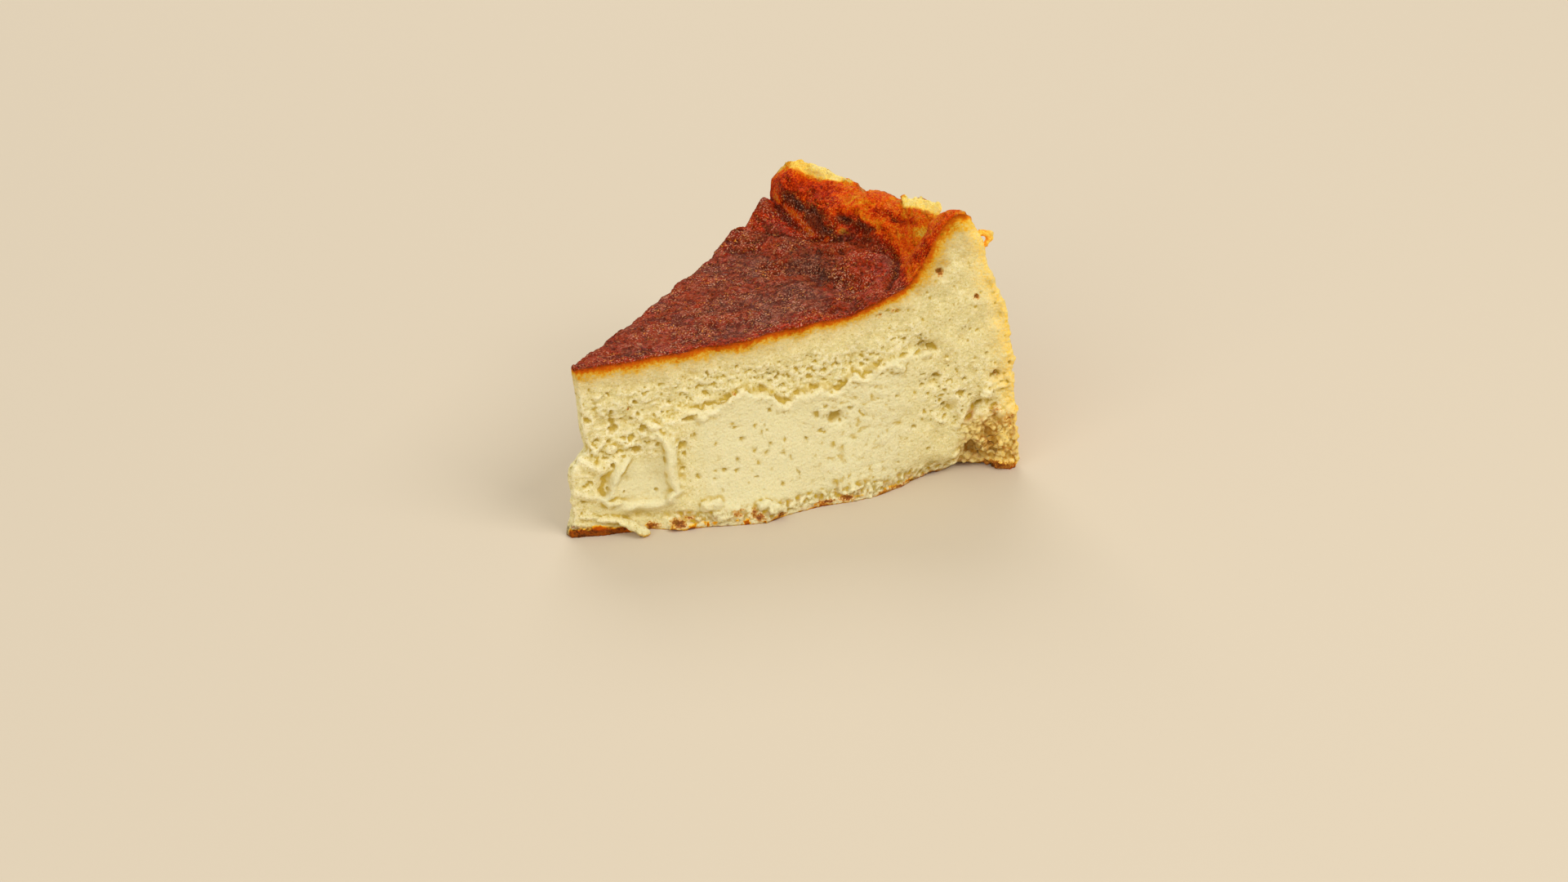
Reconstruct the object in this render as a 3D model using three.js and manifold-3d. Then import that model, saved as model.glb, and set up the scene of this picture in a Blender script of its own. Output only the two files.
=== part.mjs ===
// A wedge of Basque burnt cheesecake, an eighth of a cake baked in a 20 cm tin, in millimetres with +Z up.
// It is one solid of baked custard: a sunken top, a puffed rim that leans in, a wall that was folded into
// baking paper, and two cut faces that the knife smeared at the bottom and tore higher up.
// A box with many segments is bent into the wedge: its length becomes the radius, its width the turn round
// the cake's centre, and its height the height. The relief is then added as functions of the place on the
// slice, and the crumbs and curls that stand out are fused on.
// The tip points along -X and the rim along +X. The origin is the middle of the base.
import * as THREE from "three";
import { ImprovedNoise } from "three/addons/math/ImprovedNoise.js";
import { mergeVertices } from "three/addons/utils/BufferGeometryUtils.js";
import Module from "manifold-3d";

// Driving sizes. A turn is in degrees from the front cut face to the back one.
const cake = { radius: 102.5, turn: 43, tipBlunt: 2.4 };
const grid = { along: 50, across: 23, up: 22, crowding: 0.12 };

// The top's height against the radius, before the rim rises from it.
const plateLine = [[0, 38.8], [19, 39.3], [37, 40.4], [55, 42.2], [65, 44.2], [73, 46.6], [90, 49.5]];

// The rim against the turn: its height above the table, the radius of its foot and how wide its slope is.
// It is a gentle slope at the front cut and a puffed roll further round.
const rimCrest = [[0, 63.4], [3, 62.6], [6.5, 58.6], [10, 58.4], [18, 56], [27, 55], [36, 56.2], [43, 56]];
const rimFoot = [[0, 74.5], [8, 76], [15, 77.5], [22, 76.5], [26, 75.2], [32, 77], [39, 80.4], [43, 83.5]];
const rimSlope = [[0, 12.5], [10, 11], [18, 9.5], [26, 9], [36, 7.5], [43, 5]];
const rim = { crestRadius: 86.5, outerFall: 1.2, outerSpan: 5, fadeIn: 4 };
const roll = { from: 12, full: 22, share: 0.75 };

// How far the wall leans in from the cake's radius, against its height as a share of the rim's height.
const wallLean = [[0, 0], [0.08, -0.3], [0.2, 0.3], [0.34, 1.2], [0.5, 1.9], [0.63, 3.4], [0.74, 5.9],
  [0.86, 9], [0.95, 11.6], [1, 13.8]];

// Folds on top. Places are [radius, turn].
const crack = { from: 17, full: 24, depth: 1.7, width: 2.3 };
const plateStep = { radius: 70.5, from: 22, full: 29, drop: 0.9, width: 2.4, endsPastFoot: 1 };
const creases = [
  { points: [[62, 26], [66, 20.5], [64.5, 15], [67.5, 8]], depth: 1.5, width: 2.2 },
  { points: [[75, 19], [71, 22], [70, 26]], depth: 1.1, width: 1.8 },
  { points: [[80, 11], [77, 16], [79, 20]], depth: 1.3, width: 1.8 },
];
const topSwells = [
  { at: [73.5, 13.5], rise: 1.7, width: 5.5 },
  { at: [82.7, 7], rise: -2.6, width: 3.6 },
  { at: [79.5, 2.5], rise: 1.2, width: 2.6 },
  { at: [56, 12], rise: 0.9, width: 9 },
  { at: [48, 30], rise: 1.1, width: 10 },
  { at: [63, 1], rise: -1, width: 4 },
  { at: [84, 30], rise: 1.2, width: 4 },
  { at: [60, 43], rise: -1, width: 14 },
  { at: [79, 43], rise: 2.5, width: 7 },
];

// The front cut face. Places are [distance from the tip, height] on the face, and out is towards the viewer.
const footLine = [[0, 0], [9, 2.6], [18, 3.2], [28, 4.4], [40, 6], [47, 4.8], [55, 3.3], [63, 2.8], [71, 1.4],
  [80, -2.6], [86, -4], [93.5, -5.6], [97.5, -2], [102.5, 0.3]];
const foot = { bulgeHeight: 30, undercutHeight: 9, curve: 1.6 };
const tornEdge = [[0, 16], [8, 21.5], [17, 23.8], [28, 26.6], [35.4, 29.8], [44.5, 27.5], [47.3, 24.7],
  [52.8, 26.2], [59.3, 27.6], [63, 29.6], [66, 28], [71.4, 31.3], [79, 32.8], [102, 33]];
const smear = { out: 1.3, lip: 0.7, lipWidth: 1.8, fadeFrom: 72, fadeOver: 16 };
const frontSwells = [
  { at: [16.5, 14.5], out: -1.7, wide: 5.5, high: 7 },
  { at: [10.5, 12.5], out: 1.3, wide: 1.8, high: 5.5 },
  { at: [22.6, 15.5], out: 1.3, wide: 1.5, high: 7 },
  { at: [16, 5.8], out: 1.1, wide: 8, high: 1.4 },
  { at: [15, 3.2], out: -1.5, wide: 10, high: 1.2 },
  { at: [32.4, 2.8], out: 1.5, wide: 3, high: 1.8 },
  { at: [42.6, 1.8], out: 1.2, wide: 3.4, high: 1.6 },
  { at: [59.7, 19.7], out: -1.2, wide: 1.8, high: 1.5 },
  { at: [80.5, 32.6], out: -2.2, wide: 2.6, high: 1.2 },
  { at: [82.8, 24.8], out: -1.6, wide: 1.6, high: 1.4 },
  { at: [86, 17.4], out: -1.5, wide: 1.8, high: 1.6 },
  { at: [94.5, 17], out: -2, wide: 2.2, high: 1.4 },
  { at: [92.5, 6.2], out: -2.8, wide: 2.6, high: 2.8 },
  { at: [97.3, 23.6], out: -1.4, wide: 1.6, high: 1.4 },
  { at: [11, 24], out: -1.3, wide: 4, high: 4 },
];

// The back cut face, which is torn in the same way, with a step where the plate broke off short of the rim.
const backTornEdge = [[0, 20], [14, 22], [27, 27], [41, 24], [52, 29], [66, 26], [80, 31], [102, 32]];
const backFootLine = [[0, 0], [15, 2.2], [35, 3.8], [55, 2.6], [75, 2.2], [90, -2.4], [102.5, 0]];
const backStep = { radius: 69.5, inset: 2.2, width: 2.4, fadeFrom: 26, fadeOver: 12 };
const backSwells = [
  { at: [30, 15], out: -1.5, wide: 7, high: 4 },
  { at: [48, 11], out: 1.2, wide: 6, high: 2 },
  { at: [62, 19], out: -1.7, wide: 3, high: 2 },
  { at: [74, 30], out: -1.8, wide: 3.4, high: 1.6 },
  { at: [88, 12], out: -2.2, wide: 3, high: 3 },
  { at: [20, 30], out: -1.2, wide: 4, high: 2.4 },
];

// The tip's edge against the height: how far it is set back along +X from where the faces would meet.
const tipLine = [[0, -2.9], [1.6, -2.7], [3.2, -1.9], [6, -1.2], [9, -1.1], [12.8, -1.9], [15.4, -1.7],
  [17.2, 0.4], [19.3, 2.8], [21.4, 2.4], [24, 1.6], [30.2, 1.2], [35.9, 0.3], [38.8, 0]];

// How far a face's relief reaches into the slice, where it fades out, and the stretch from the tip over which
// it grows, as there is little custard behind a face there.
const reach = { face: 13, tip: 14, wall: 10, fromTip: 1, fullAt: 10 };

// The wall's folds from the baking paper: where each starts at the table, and how far it has drifted round
// at the top.
const paperFolds = [
  { turn: 7.5, drift: -2, out: -1.3, width: 1.5 },
  { turn: 14, drift: 3, out: -0.8, width: 1.3 },
  { turn: 17, drift: -1, out: 1, width: 2.2 },
  { turn: 21.5, drift: 4, out: -1.5, width: 1.6 },
  { turn: 31, drift: -3, out: 1.1, width: 2.6 },
  { turn: 35, drift: 2, out: -1.1, width: 1.3 },
  { turn: 39.5, drift: -1, out: -0.6, width: 1.1 },
];

// How strong the folds are at the table, as a share of their strength at the rim.
const foldAtTable = 0.5;

// The fine unevenness: how far it stands out and about how long one swell is.
const unevenness = {
  plate: { out: 0.45, length: 9 },
  rim: { out: 0.9, length: 6.5 },
  crumb: { out: 0.8, length: 4.2 },
  sheet: { out: 0.35, length: 7.5 },
  wall: { out: 1.1, length: 8 },
};

// The layer of the noise that each surface takes, so that no two are uneven alike.
const layer = { plate: 0.3, rim: 1.3, front: 2.3, back: 3.3, wall: 4.3 };

// Pieces that stand out and are fused on: a squashed ball each, its size as half-axes.
const curd = { count: 30, seed: 7, distance: [89, 101], height: [1.2, 13.5], size: [0.9, 2.1], sunk: 0.55 };
const crumbs = [
  { face: "front", at: [94, 55.4], out: -1.6, size: [2.2, 1.1, 2.4], lean: 0.6 },
  { face: "front", at: [95.8, 53.4], out: -1.5, size: [1.6, 1, 1.9], lean: -0.3 },
  { face: "front", at: [13.5, 1.7], out: 3.2, size: [5, 1.6, 1.2], lean: 0.25 },
  { face: "front", at: [62.3, 2.2], out: 2.6, size: [3.2, 1.3, 1.3], lean: -0.2 },
  { face: "front", at: [100.6, 14.6], out: -0.6, size: [2.2, 1.6, 1.7], lean: 0.6 },
  { face: "front", at: [101, 1.5], out: -0.6, size: [3.2, 2, 1.3], lean: 0 },
  { face: "back", at: [36, 2], out: 2.6, size: [3.6, 1.3, 1.4], lean: 0.2 },
  { face: "back", at: [70, 2.2], out: 1.4, size: [3, 1.3, 1.5], lean: -0.2 },
];

const radians = THREE.MathUtils.degToRad;
const smooth = (t) => THREE.MathUtils.smoothstep(t, 0, 1);
const bell = (distance, width) => Math.exp(-((distance / width) ** 2));

// The value at x on a line of [x, value] points, eased between them.
function valueAlong(line, x) {
  const last = line.length - 1;
  if (x <= line[0][0]) return line[0][1];
  if (x >= line[last][0]) return line[last][1];
  const i = line.findIndex((p) => p[0] > x);
  const [x0, y0] = line[i - 1];
  const [x1, y1] = line[i];
  const t = (x - x0) / (x1 - x0);
  const slope = (a, b) => (line[b][1] - line[a][1]) / (line[b][0] - line[a][0]);
  const m0 = slope(Math.max(i - 2, 0), i) * (x1 - x0);
  const m1 = slope(i - 1, Math.min(i + 1, last)) * (x1 - x0);
  return y0 + t * (m0 + t * (3 * (y1 - y0) - 2 * m0 - m1 + t * (m0 + m1 - 2 * (y1 - y0))));
}

// The distance in plan from a place to a crease's line, both given by radius and turn.
function distanceToCrease(points, radius, turn) {
  const plan = ([r, a]) => new THREE.Vector3(r * Math.cos(radians(a)), r * Math.sin(radians(a)), 0);
  const here = plan([radius, turn]);
  const nearest = new THREE.Vector3();
  let least = Infinity;
  for (let i = 1; i < points.length; i++) {
    new THREE.Line3(plan(points[i - 1]), plan(points[i])).closestPointToPoint(here, true, nearest);
    least = Math.min(least, here.distanceTo(nearest));
  }
  return least;
}

// A soft unevenness without a direction, whose swells are about one given length across.
const noise = new ImprovedNoise();
const swell = ({ out, length }, x, y, z) => out * noise.noise(x / length, y / length, z);

// The share of the rim's height that its slope has reached, where t runs from the rim's foot to its crest.
function rimProfile(t, turn) {
  const along = THREE.MathUtils.clamp(t, 0, 1);
  const puffed = roll.share * smooth((turn - roll.from) / (roll.full - roll.from));
  return THREE.MathUtils.lerp(smooth(along), Math.sqrt(1 - (1 - along) ** 2), puffed);
}

function topHeight(radius, turn) {
  const rise = valueAlong(rimCrest, turn) - valueAlong(plateLine, rim.crestRadius);
  const foot = valueAlong(rimFoot, turn);
  const side = radius * radians(turn);
  let height = valueAlong(plateLine, radius) + swell(unevenness.plate, radius, side, layer.plate);
  height += rise * rimProfile((radius - foot) / valueAlong(rimSlope, turn), turn);
  height += smooth((radius - foot) / rim.fadeIn) * swell(unevenness.rim, radius, side, layer.rim);
  height -= rim.outerFall * Math.max(0, (radius - rim.crestRadius) / rim.outerSpan) ** 2;
  const cracked = smooth((turn - crack.from) / (crack.full - crack.from));
  height -= crack.depth * cracked * bell(radius - foot, crack.width);
  const broken = smooth((turn - plateStep.from) / (plateStep.full - plateStep.from));
  const pastStep = smooth((radius - plateStep.radius) / plateStep.width);
  const beforeRim = smooth((foot + plateStep.endsPastFoot - radius) / plateStep.width);
  height -= plateStep.drop * broken * pastStep * beforeRim;
  for (const c of creases) height -= c.depth * bell(distanceToCrease(c.points, radius, turn), c.width);
  for (const s of topSwells) height += s.rise * bell(distanceToCrease([s.at, s.at], radius, turn), s.width);
  return height;
}

// How far a cut face's foot stands out of its plane, or is eaten away under it.
function footOut(line, distance, height) {
  const out = valueAlong(line, distance);
  const share = 1 - height / (out > 0 ? foot.bulgeHeight : foot.undercutHeight);
  return out * Math.max(0, share) ** foot.curve;
}

// The smeared sheet of custard, which ends in a torn lip, and the open crumb above it.
function smearOut(edge, distance, height, side) {
  const below = valueAlong(edge, distance) - height;
  const sheet = smooth(below / smear.lipWidth + 0.5);
  const strength = 1 - smooth((distance - smear.fadeFrom) / smear.fadeOver);
  const crumb = swell(unevenness.crumb, distance, height, side);
  const smeared = swell(unevenness.sheet, distance, height, side);
  return strength * (smear.out * sheet + smear.lip * bell(below - smear.lipWidth / 2, smear.lipWidth))
    + THREE.MathUtils.lerp(crumb, smeared, sheet * strength);
}

function swellsOut(swells, distance, height) {
  return swells.reduce((sum, s) =>
    sum + s.out * bell(distance - s.at[0], s.wide) * bell(height - s.at[1], s.high), 0);
}

const tipFade = (distance) => smooth((distance - reach.fromTip) / (reach.fullAt - reach.fromTip));

function frontOut(distance, height) {
  const relief = smearOut(tornEdge, distance, height, layer.front) + swellsOut(frontSwells, distance, height);
  return tipFade(distance) * relief + footOut(footLine, distance, height);
}

function backOut(distance, height) {
  const torn = smearOut(backTornEdge, distance, height, layer.back);
  const relief = torn + swellsOut(backSwells, distance, height);
  const pastStep = smooth((distance - backStep.radius) / backStep.width);
  const step = backStep.inset * pastStep * smooth((height - backStep.fadeFrom) / backStep.fadeOver);
  return tipFade(distance) * relief + footOut(backFootLine, distance, height) - step;
}

function wallOut(turn, level) {
  const fold = (f) => f.out * bell(turn - f.turn - f.drift * level, f.width);
  const folds = paperFolds.reduce((sum, f) => sum + fold(f), 0);
  const side = cake.radius * radians(turn);
  return folds * THREE.MathUtils.lerp(foldAtTable, 1, level)
    + swell(unevenness.wall, side, level * rimCrest[0][1], layer.wall);
}

const wallRadius = (level) => cake.radius - valueAlong(wallLean, level);

// The place on the slice of a place in the box, whose along, across and up each run from 0 to 1.
function placeOnSlice(along, across, up) {
  const turn = cake.turn * across;
  const share = along + grid.crowding * Math.sin(Math.PI * along);
  const radiusAt = (level) => cake.tipBlunt + share * (wallRadius(level) - cake.tipBlunt);
  const height = up * topHeight(radiusAt(1), turn);
  let radius = radiusAt(up);
  radius += wallOut(turn, up) * (1 - smooth((wallRadius(up) - radius) / reach.wall));

  const angle = radians(turn - cake.turn / 2);
  const place = new THREE.Vector3(radius * Math.cos(angle), radius * Math.sin(angle), height);
  place.x += valueAlong(tipLine, height) * (1 - smooth(radius / reach.tip));
  for (const [side, out] of [[-1, frontOut], [1, backOut]]) {
    const face = (side * radians(cake.turn)) / 2;
    const distance = radius * Math.cos(angle - face);
    const depth = Math.abs(radius * Math.sin(angle - face));
    const amount = out(distance, height) * (1 - smooth(depth / reach.face));
    place.x -= side * Math.sin(face) * amount;
    place.y += side * Math.cos(face) * amount;
  }
  return place;
}

function bentWedge() {
  const geometry = new THREE.BoxGeometry(1, 1, 1, grid.along, grid.across, grid.up);
  const position = geometry.getAttribute("position");
  for (let i = 0; i < position.count; i++) {
    const [along, across, up] = [position.getX(i), position.getY(i), position.getZ(i)].map((c) => c + 0.5);
    const p = placeOnSlice(along, across, up);
    position.setXYZ(i, p.x, p.y, p.z);
  }
  return geometry;
}

// A place on a cut face, moved out of its plane.
function onFace(face, [distance, height], out) {
  const side = face === "front" ? -1 : 1;
  const angle = (side * radians(cake.turn)) / 2;
  const along = new THREE.Vector3(Math.cos(angle), Math.sin(angle), 0).multiplyScalar(distance);
  return along.add(new THREE.Vector3(-side * Math.sin(angle), side * Math.cos(angle), 0).multiplyScalar(out))
    .setZ(height);
}

// A squashed ball that lies on a cut face, leaning in the face's plane.
function lumpGeometry({ face, at, out, size, lean }) {
  const side = face === "front" ? -1 : 1;
  const geometry = new THREE.IcosahedronGeometry(1, 1);
  geometry.scale(...size);
  geometry.rotateY(-lean);
  geometry.rotateZ((side * radians(cake.turn)) / 2);
  const place = onFace(face, at, out);
  geometry.translate(place.x, place.y, place.z);
  return geometry;
}

// A small repeatable generator, so that the curd's grains always fall in the same places.
function seededDraws(seed) {
  let state = seed;
  return (low, high) => {
    state = (state * 16807) % 2147483647;
    return low + ((high - low) * state) / 2147483647;
  };
}

// The crumbled corner under the rim, where the curd broke into grains.
function curdLumps() {
  const draw = seededDraws(curd.seed);
  return Array.from({ length: curd.count }, () => {
    const at = [draw(...curd.distance), draw(...curd.height)];
    const grain = draw(...curd.size);
    const size = [grain * draw(0.9, 1.4), grain * draw(0.7, 1), grain * draw(0.7, 1)];
    return { face: "front", at, out: frontOut(...at) - curd.sunk * grain, size, lean: draw(-0.8, 0.8) };
  });
}

const wasm = await Module();
wasm.setup();

function solidOf(geometry) {
  const bare = geometry.index ? geometry.toNonIndexed() : geometry.clone();
  bare.deleteAttribute("normal");
  bare.deleteAttribute("uv");
  const merged = mergeVertices(bare, 1e-4);
  return new wasm.Manifold(new wasm.Mesh({
    numProp: 3,
    vertProperties: new Float32Array(merged.getAttribute("position").array),
    triVerts: new Uint32Array(merged.index.array),
  }));
}

function geometryOf(solid) {
  const mesh = solid.getMesh();
  const positions = new Float32Array(mesh.numVert * 3);
  for (let i = 0; i < mesh.numVert; i++) {
    positions.set(mesh.vertProperties.subarray(i * mesh.numProp, i * mesh.numProp + 3), i * 3);
  }
  return new THREE.BufferGeometry()
    .setAttribute("position", new THREE.BufferAttribute(positions, 3))
    .setIndex(new THREE.BufferAttribute(mesh.triVerts, 1));
}

// A block under the table's level, which trims off what a fused lump would push through the base.
function belowTable() {
  const [side, depth] = [400, 20];
  return new THREE.BoxGeometry(side, side, depth).translate(0, 0, -depth / 2);
}

function cheesecakeSlice() {
  const lumps = [...crumbs, ...curdLumps()].map((lump) => solidOf(lumpGeometry(lump)));
  const fused = lumps.reduce((whole, lump) => whole.add(lump), solidOf(bentWedge()));
  const geometry = geometryOf(fused.subtract(solidOf(belowTable())));
  geometry.computeBoundingBox();
  const middle = geometry.boundingBox.getCenter(new THREE.Vector3());
  geometry.translate(-middle.x, -middle.y, 0);
  geometry.computeVertexNormals();
  const custard = new THREE.MeshStandardMaterial({ color: 0xdccb8e, roughness: 0.6, metalness: 0 });
  const mesh = new THREE.Mesh(geometry, custard);
  mesh.name = "cheesecake_slice";
  return mesh;
}

const slice = new THREE.Group();
slice.add(cheesecakeSlice());

export default slice;
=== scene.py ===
import bpy
import numpy as np
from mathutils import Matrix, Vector, noise
from mathutils.bvhtree import BVHTree


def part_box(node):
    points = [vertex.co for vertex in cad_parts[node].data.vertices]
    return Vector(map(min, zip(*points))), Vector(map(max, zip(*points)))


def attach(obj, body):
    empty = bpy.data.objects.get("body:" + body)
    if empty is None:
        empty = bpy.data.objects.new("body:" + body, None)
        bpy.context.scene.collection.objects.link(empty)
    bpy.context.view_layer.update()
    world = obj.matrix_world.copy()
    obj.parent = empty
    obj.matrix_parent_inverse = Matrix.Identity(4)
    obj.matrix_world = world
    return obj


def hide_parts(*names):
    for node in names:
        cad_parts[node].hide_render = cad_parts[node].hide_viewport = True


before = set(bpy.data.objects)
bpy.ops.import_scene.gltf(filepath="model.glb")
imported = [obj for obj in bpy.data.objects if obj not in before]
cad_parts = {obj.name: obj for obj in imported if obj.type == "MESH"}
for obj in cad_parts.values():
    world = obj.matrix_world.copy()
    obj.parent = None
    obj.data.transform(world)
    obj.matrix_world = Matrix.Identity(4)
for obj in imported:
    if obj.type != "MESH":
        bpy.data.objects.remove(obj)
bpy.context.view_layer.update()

mm = 0.001


# Helpers
def smooth(t):
    t = np.clip(t, 0, 1)
    return t * t * (3 - 2 * t)


def rising(value, start, span):  # 0 up to the start and 1 past the span. A negative span makes it fall.
    return smooth((value - start) / span)


def bell(distance, width):
    return np.exp(-(distance / width) ** 2)


def mix(a, b, t):
    return a + (b - a) * t


def eased(line, x):  # the value at x on a line of (x, value) points
    px, py = np.array(line, float).T
    x = np.clip(np.asarray(x, float), px[0], px[-1])
    i = np.clip(np.searchsorted(px, x, side="right"), 1, len(px) - 1)
    lo, hi = np.maximum(i - 2, 0), np.minimum(i + 1, len(px) - 1)
    step = px[i] - px[i - 1]
    m0 = (py[i] - py[lo]) / (px[i] - px[lo]) * step
    m1 = (py[hi] - py[i - 1]) / (px[hi] - px[i - 1]) * step
    t = (x - px[i - 1]) / step
    climb = py[i] - py[i - 1]
    return py[i - 1] + t * (m0 + t * (3 * climb - 2 * m0 - m1 + t * (m0 + m1 - 2 * climb)))


def swell(length, x, y, z=0.0):  # soft unevenness about one length across, from -1 to 1
    x, y, z = np.broadcast_arrays(x / length, y / length, z)
    return np.array([noise.noise(p) for p in zip(x.ravel().tolist(), y.ravel().tolist(), z.ravel().tolist())])


def scaled(length, *axes):
    return zip(*((axis / length).tolist() for axis in axes))


def rough(length, x, y, z, octaves=3):  # the same with finer swells on it
    return np.array([noise.fractal(p, 0.9, 2.1, octaves) for p in scaled(length, x, y, z)])


def grains(length, x, y, z):  # 0 in the middle of a grain, about 1 where two grains meet
    found = [noise.voronoi(p)[0] for p in scaled(length, x, y, z)]
    return np.array([f[0] / max(f[1], 1e-6) for f in found])


def lineDistance(points, x, y):  # distance to a line through the points
    least = np.full(np.shape(x), 1e9)
    for (ax, ay), (bx, by) in zip(points[:-1], points[1:]):
        dx, dy = bx - ax, by - ay
        t = np.clip(((x - ax) * dx + (y - ay) * dy) / (dx * dx + dy * dy), 0, 1)
        least = np.minimum(least, np.hypot(x - ax - t * dx, y - ay - t * dy))
    return least


def spaceDistance(points, x, y, z):  # the same for a line or a single point in the round
    points = np.array(points, float)
    here = np.column_stack([x, y, z])
    if len(points) == 1:
        return np.linalg.norm(here - points[0], axis=1)
    least = np.full(len(here), 1e9)
    for a, b in zip(points[:-1], points[1:]):
        t = np.clip((here - a) @ (b - a) / ((b - a) @ (b - a)), 0, 1)
        least = np.minimum(least, np.linalg.norm(here - a - t[:, None] * (b - a), axis=1))
    return least


def numbers(collection, name, width=3, kind=float):  # one value, or a row of them, for each member
    values = np.empty(len(collection) * width, kind)
    collection.foreach_get(name, values)
    return values.reshape(-1, width) if width > 1 else values


def setPoints(thing, points):
    thing.data.vertices.foreach_set("co", np.ravel(points))
    thing.data.update()


# The slice's shape
cake = dict(
    radius=102.5, turn=43, tipBlunt=2.4, centre=(-51.286, 0.466), along=170, across=84, up=80, crowding=0.12,
)
halfTurn = np.radians(cake["turn"] / 2)

top = dict(
    plate=[(0, 38.8), (19, 39.3), (37, 40.4), (55, 42.2), (65, 44.2), (73, 46.8), (80, 48.8), (90, 50)],
    crest=[
        (0, 63.4), (3, 62.6), (6.5, 58.6), (10, 58.4), (18, 56.6), (22, 56.8), (27, 55.4), (33, 54.8),
        (38, 55.4), (41, 55), (43, 53.4),
    ],
    foot=[
        (0, 74.5), (6, 76.5), (10, 78.8), (15, 79.6), (22, 78.6), (26, 76.8), (32, 78), (39, 80.9),
        (43, 83.5),
    ],
    slope=[(0, 12.5), (6, 10), (10, 8), (18, 7), (26, 8), (36, 7), (43, 5)],
    plateSwell=(0.35, 9), rimSwell=(0.8, 6.5),  # how much, how long
    rollTurns=(12, 10), crackTurns=(17, 7), stepTurns=(22, 7),  # where each starts, over how much it grows
    crestRadius=86.5, outerFall=1.2, outerSpan=5, fadeIn=4, rollShare=0.75, rollLean=1.6,
    crackDepth=1.7, crackWidth=2.3, stepRadius=70.5, stepDrop=1.1, stepWidth=1.6, stepEndsPastFoot=1,
    creases=[  # a line of (radius, turn), depth, width
        (((62, 26), (66, 20.5), (64.5, 15), (67.5, 8)), 1.5, 2.2), (((75, 19), (71, 22), (70, 26)), 1.1, 1.8),
        (((80, 11), (77, 16), (79, 20)), 1.3, 1.8),
    ],
    swells=[  # (radius, turn), rise, width
        ((73.5, 13.5), 1.7, 5.5), ((82.7, 7), -2.6, 3.6), ((79.5, 2.5), 1.2, 2.6), ((56, 12), 0.9, 9),
        ((48, 30), 1.1, 10), ((63, 1), -1, 4), ((84, 30), 1.2, 4), ((60, 43), -1, 14), ((79, 43), 2.5, 7),
        ((89.2, 33.5), 2, 2), ((88.8, 38.2), 2.8, 2.4), ((88.2, 41.4), 1, 2), ((90.4, 13.5), 2.6, 2.6),
        ((84.4, 8), -1.4, 2.2),
    ],
)

wall = dict(
    lean=[  # how far it leans in, against its height as a share of the rim's
        (0, 0), (0.08, -0.3), (0.2, 0.3), (0.34, 1.2), (0.5, 1.9), (0.63, 3.4), (0.74, 5.9), (0.86, 9),
        (0.95, 11.6), (1, 13.8),
    ],
    folds=[  # turn at the table, drift at the top, out, width
        (7.5, -2, -1.3, 1.5), (14, 3, -0.8, 1.3), (17, -1, 1, 2.2), (21.5, 4, -1.5, 1.6), (31, -3, 1.1, 2.6),
        (35, 2, -1.1, 1.3), (39.5, -1, -0.6, 1.1),
    ],
    atTable=0.5, reach=10, bulge=(1.1, 8), height=63.4,
)

front = dict(
    side=-1, layer=2.3,
    foot=[  # how far the foot of the face stands out
        (0, 0), (9, 2.6), (18, 3.2), (28, 4.4), (40, 6), (47, 4.8), (55, 3.3), (63, 2.8), (71, 1.4),
        (80, -2.6), (86, -4), (93.5, -5.6), (97.5, -2), (102.5, 0.3),
    ],
    torn=[  # the lip between the smear and the open crumb
        (0, 16), (8, 21.5), (17, 23.8), (28.1, 26), (32.5, 26.4), (35.4, 27.6), (37.4, 29.5), (39.1, 29.8),
        (41.8, 28.2), (44, 27.8), (45.7, 26.7), (46.9, 25), (48.9, 24.7), (50.9, 26.2), (54.6, 26.7),
        (57.1, 26.9), (58.8, 26.1), (60.8, 26.3), (62, 28), (63.5, 29.6), (66, 28.7), (71.4, 31.3),
        (79, 32.8), (102, 33),
    ],
    swells=[  # (distance, height), out, wide, high
        ((16.5, 13), -1.1, 5.5, 6), ((10.5, 12.5), 1.3, 1.8, 5.5), ((22.6, 15.5), 1.3, 1.5, 7),
        ((16, 5.8), 0.7, 8, 1.5), ((15, 3.2), -0.8, 10, 1.4), ((32.4, 2.8), 1.5, 3, 1.8),
        ((42.6, 1.8), 1.2, 3.4, 1.6), ((59.7, 19.7), -1.2, 1.8, 1.5), ((80.5, 32.6), -2.2, 2.6, 1.2),
        ((82.8, 24.8), -1.6, 1.6, 1.4), ((86, 17.4), -1.5, 1.8, 1.6), ((94.5, 17), -2, 2.2, 1.4),
        ((92.5, 6.2), -2.8, 2.6, 2.8), ((97.3, 23.6), -1.4, 1.6, 1.4), ((11, 24), -1.3, 4, 4),
    ],
)

back = dict(
    side=1, layer=3.3,
    foot=[(0, 0), (15, 2.2), (35, 3.8), (55, 2.6), (75, 2.2), (90, -2.4), (102.5, 0)],
    torn=[(0, 20), (14, 22), (27, 27), (41, 24), (52, 29), (66, 26), (80, 31), (102, 32)],
    swells=[
        ((30, 15), -1.5, 7, 4), ((48, 11), 1.2, 6, 2), ((62, 19), -1.7, 3, 2), ((74, 30), -1.8, 3.4, 1.6),
        ((88, 12), -2.2, 3, 3), ((20, 30), -1.2, 4, 2.4),
    ],
    step=(69.5, 2.4), stepHeight=(26, 12), stepInset=2.2,  # where the face is set back past the step
)

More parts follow.
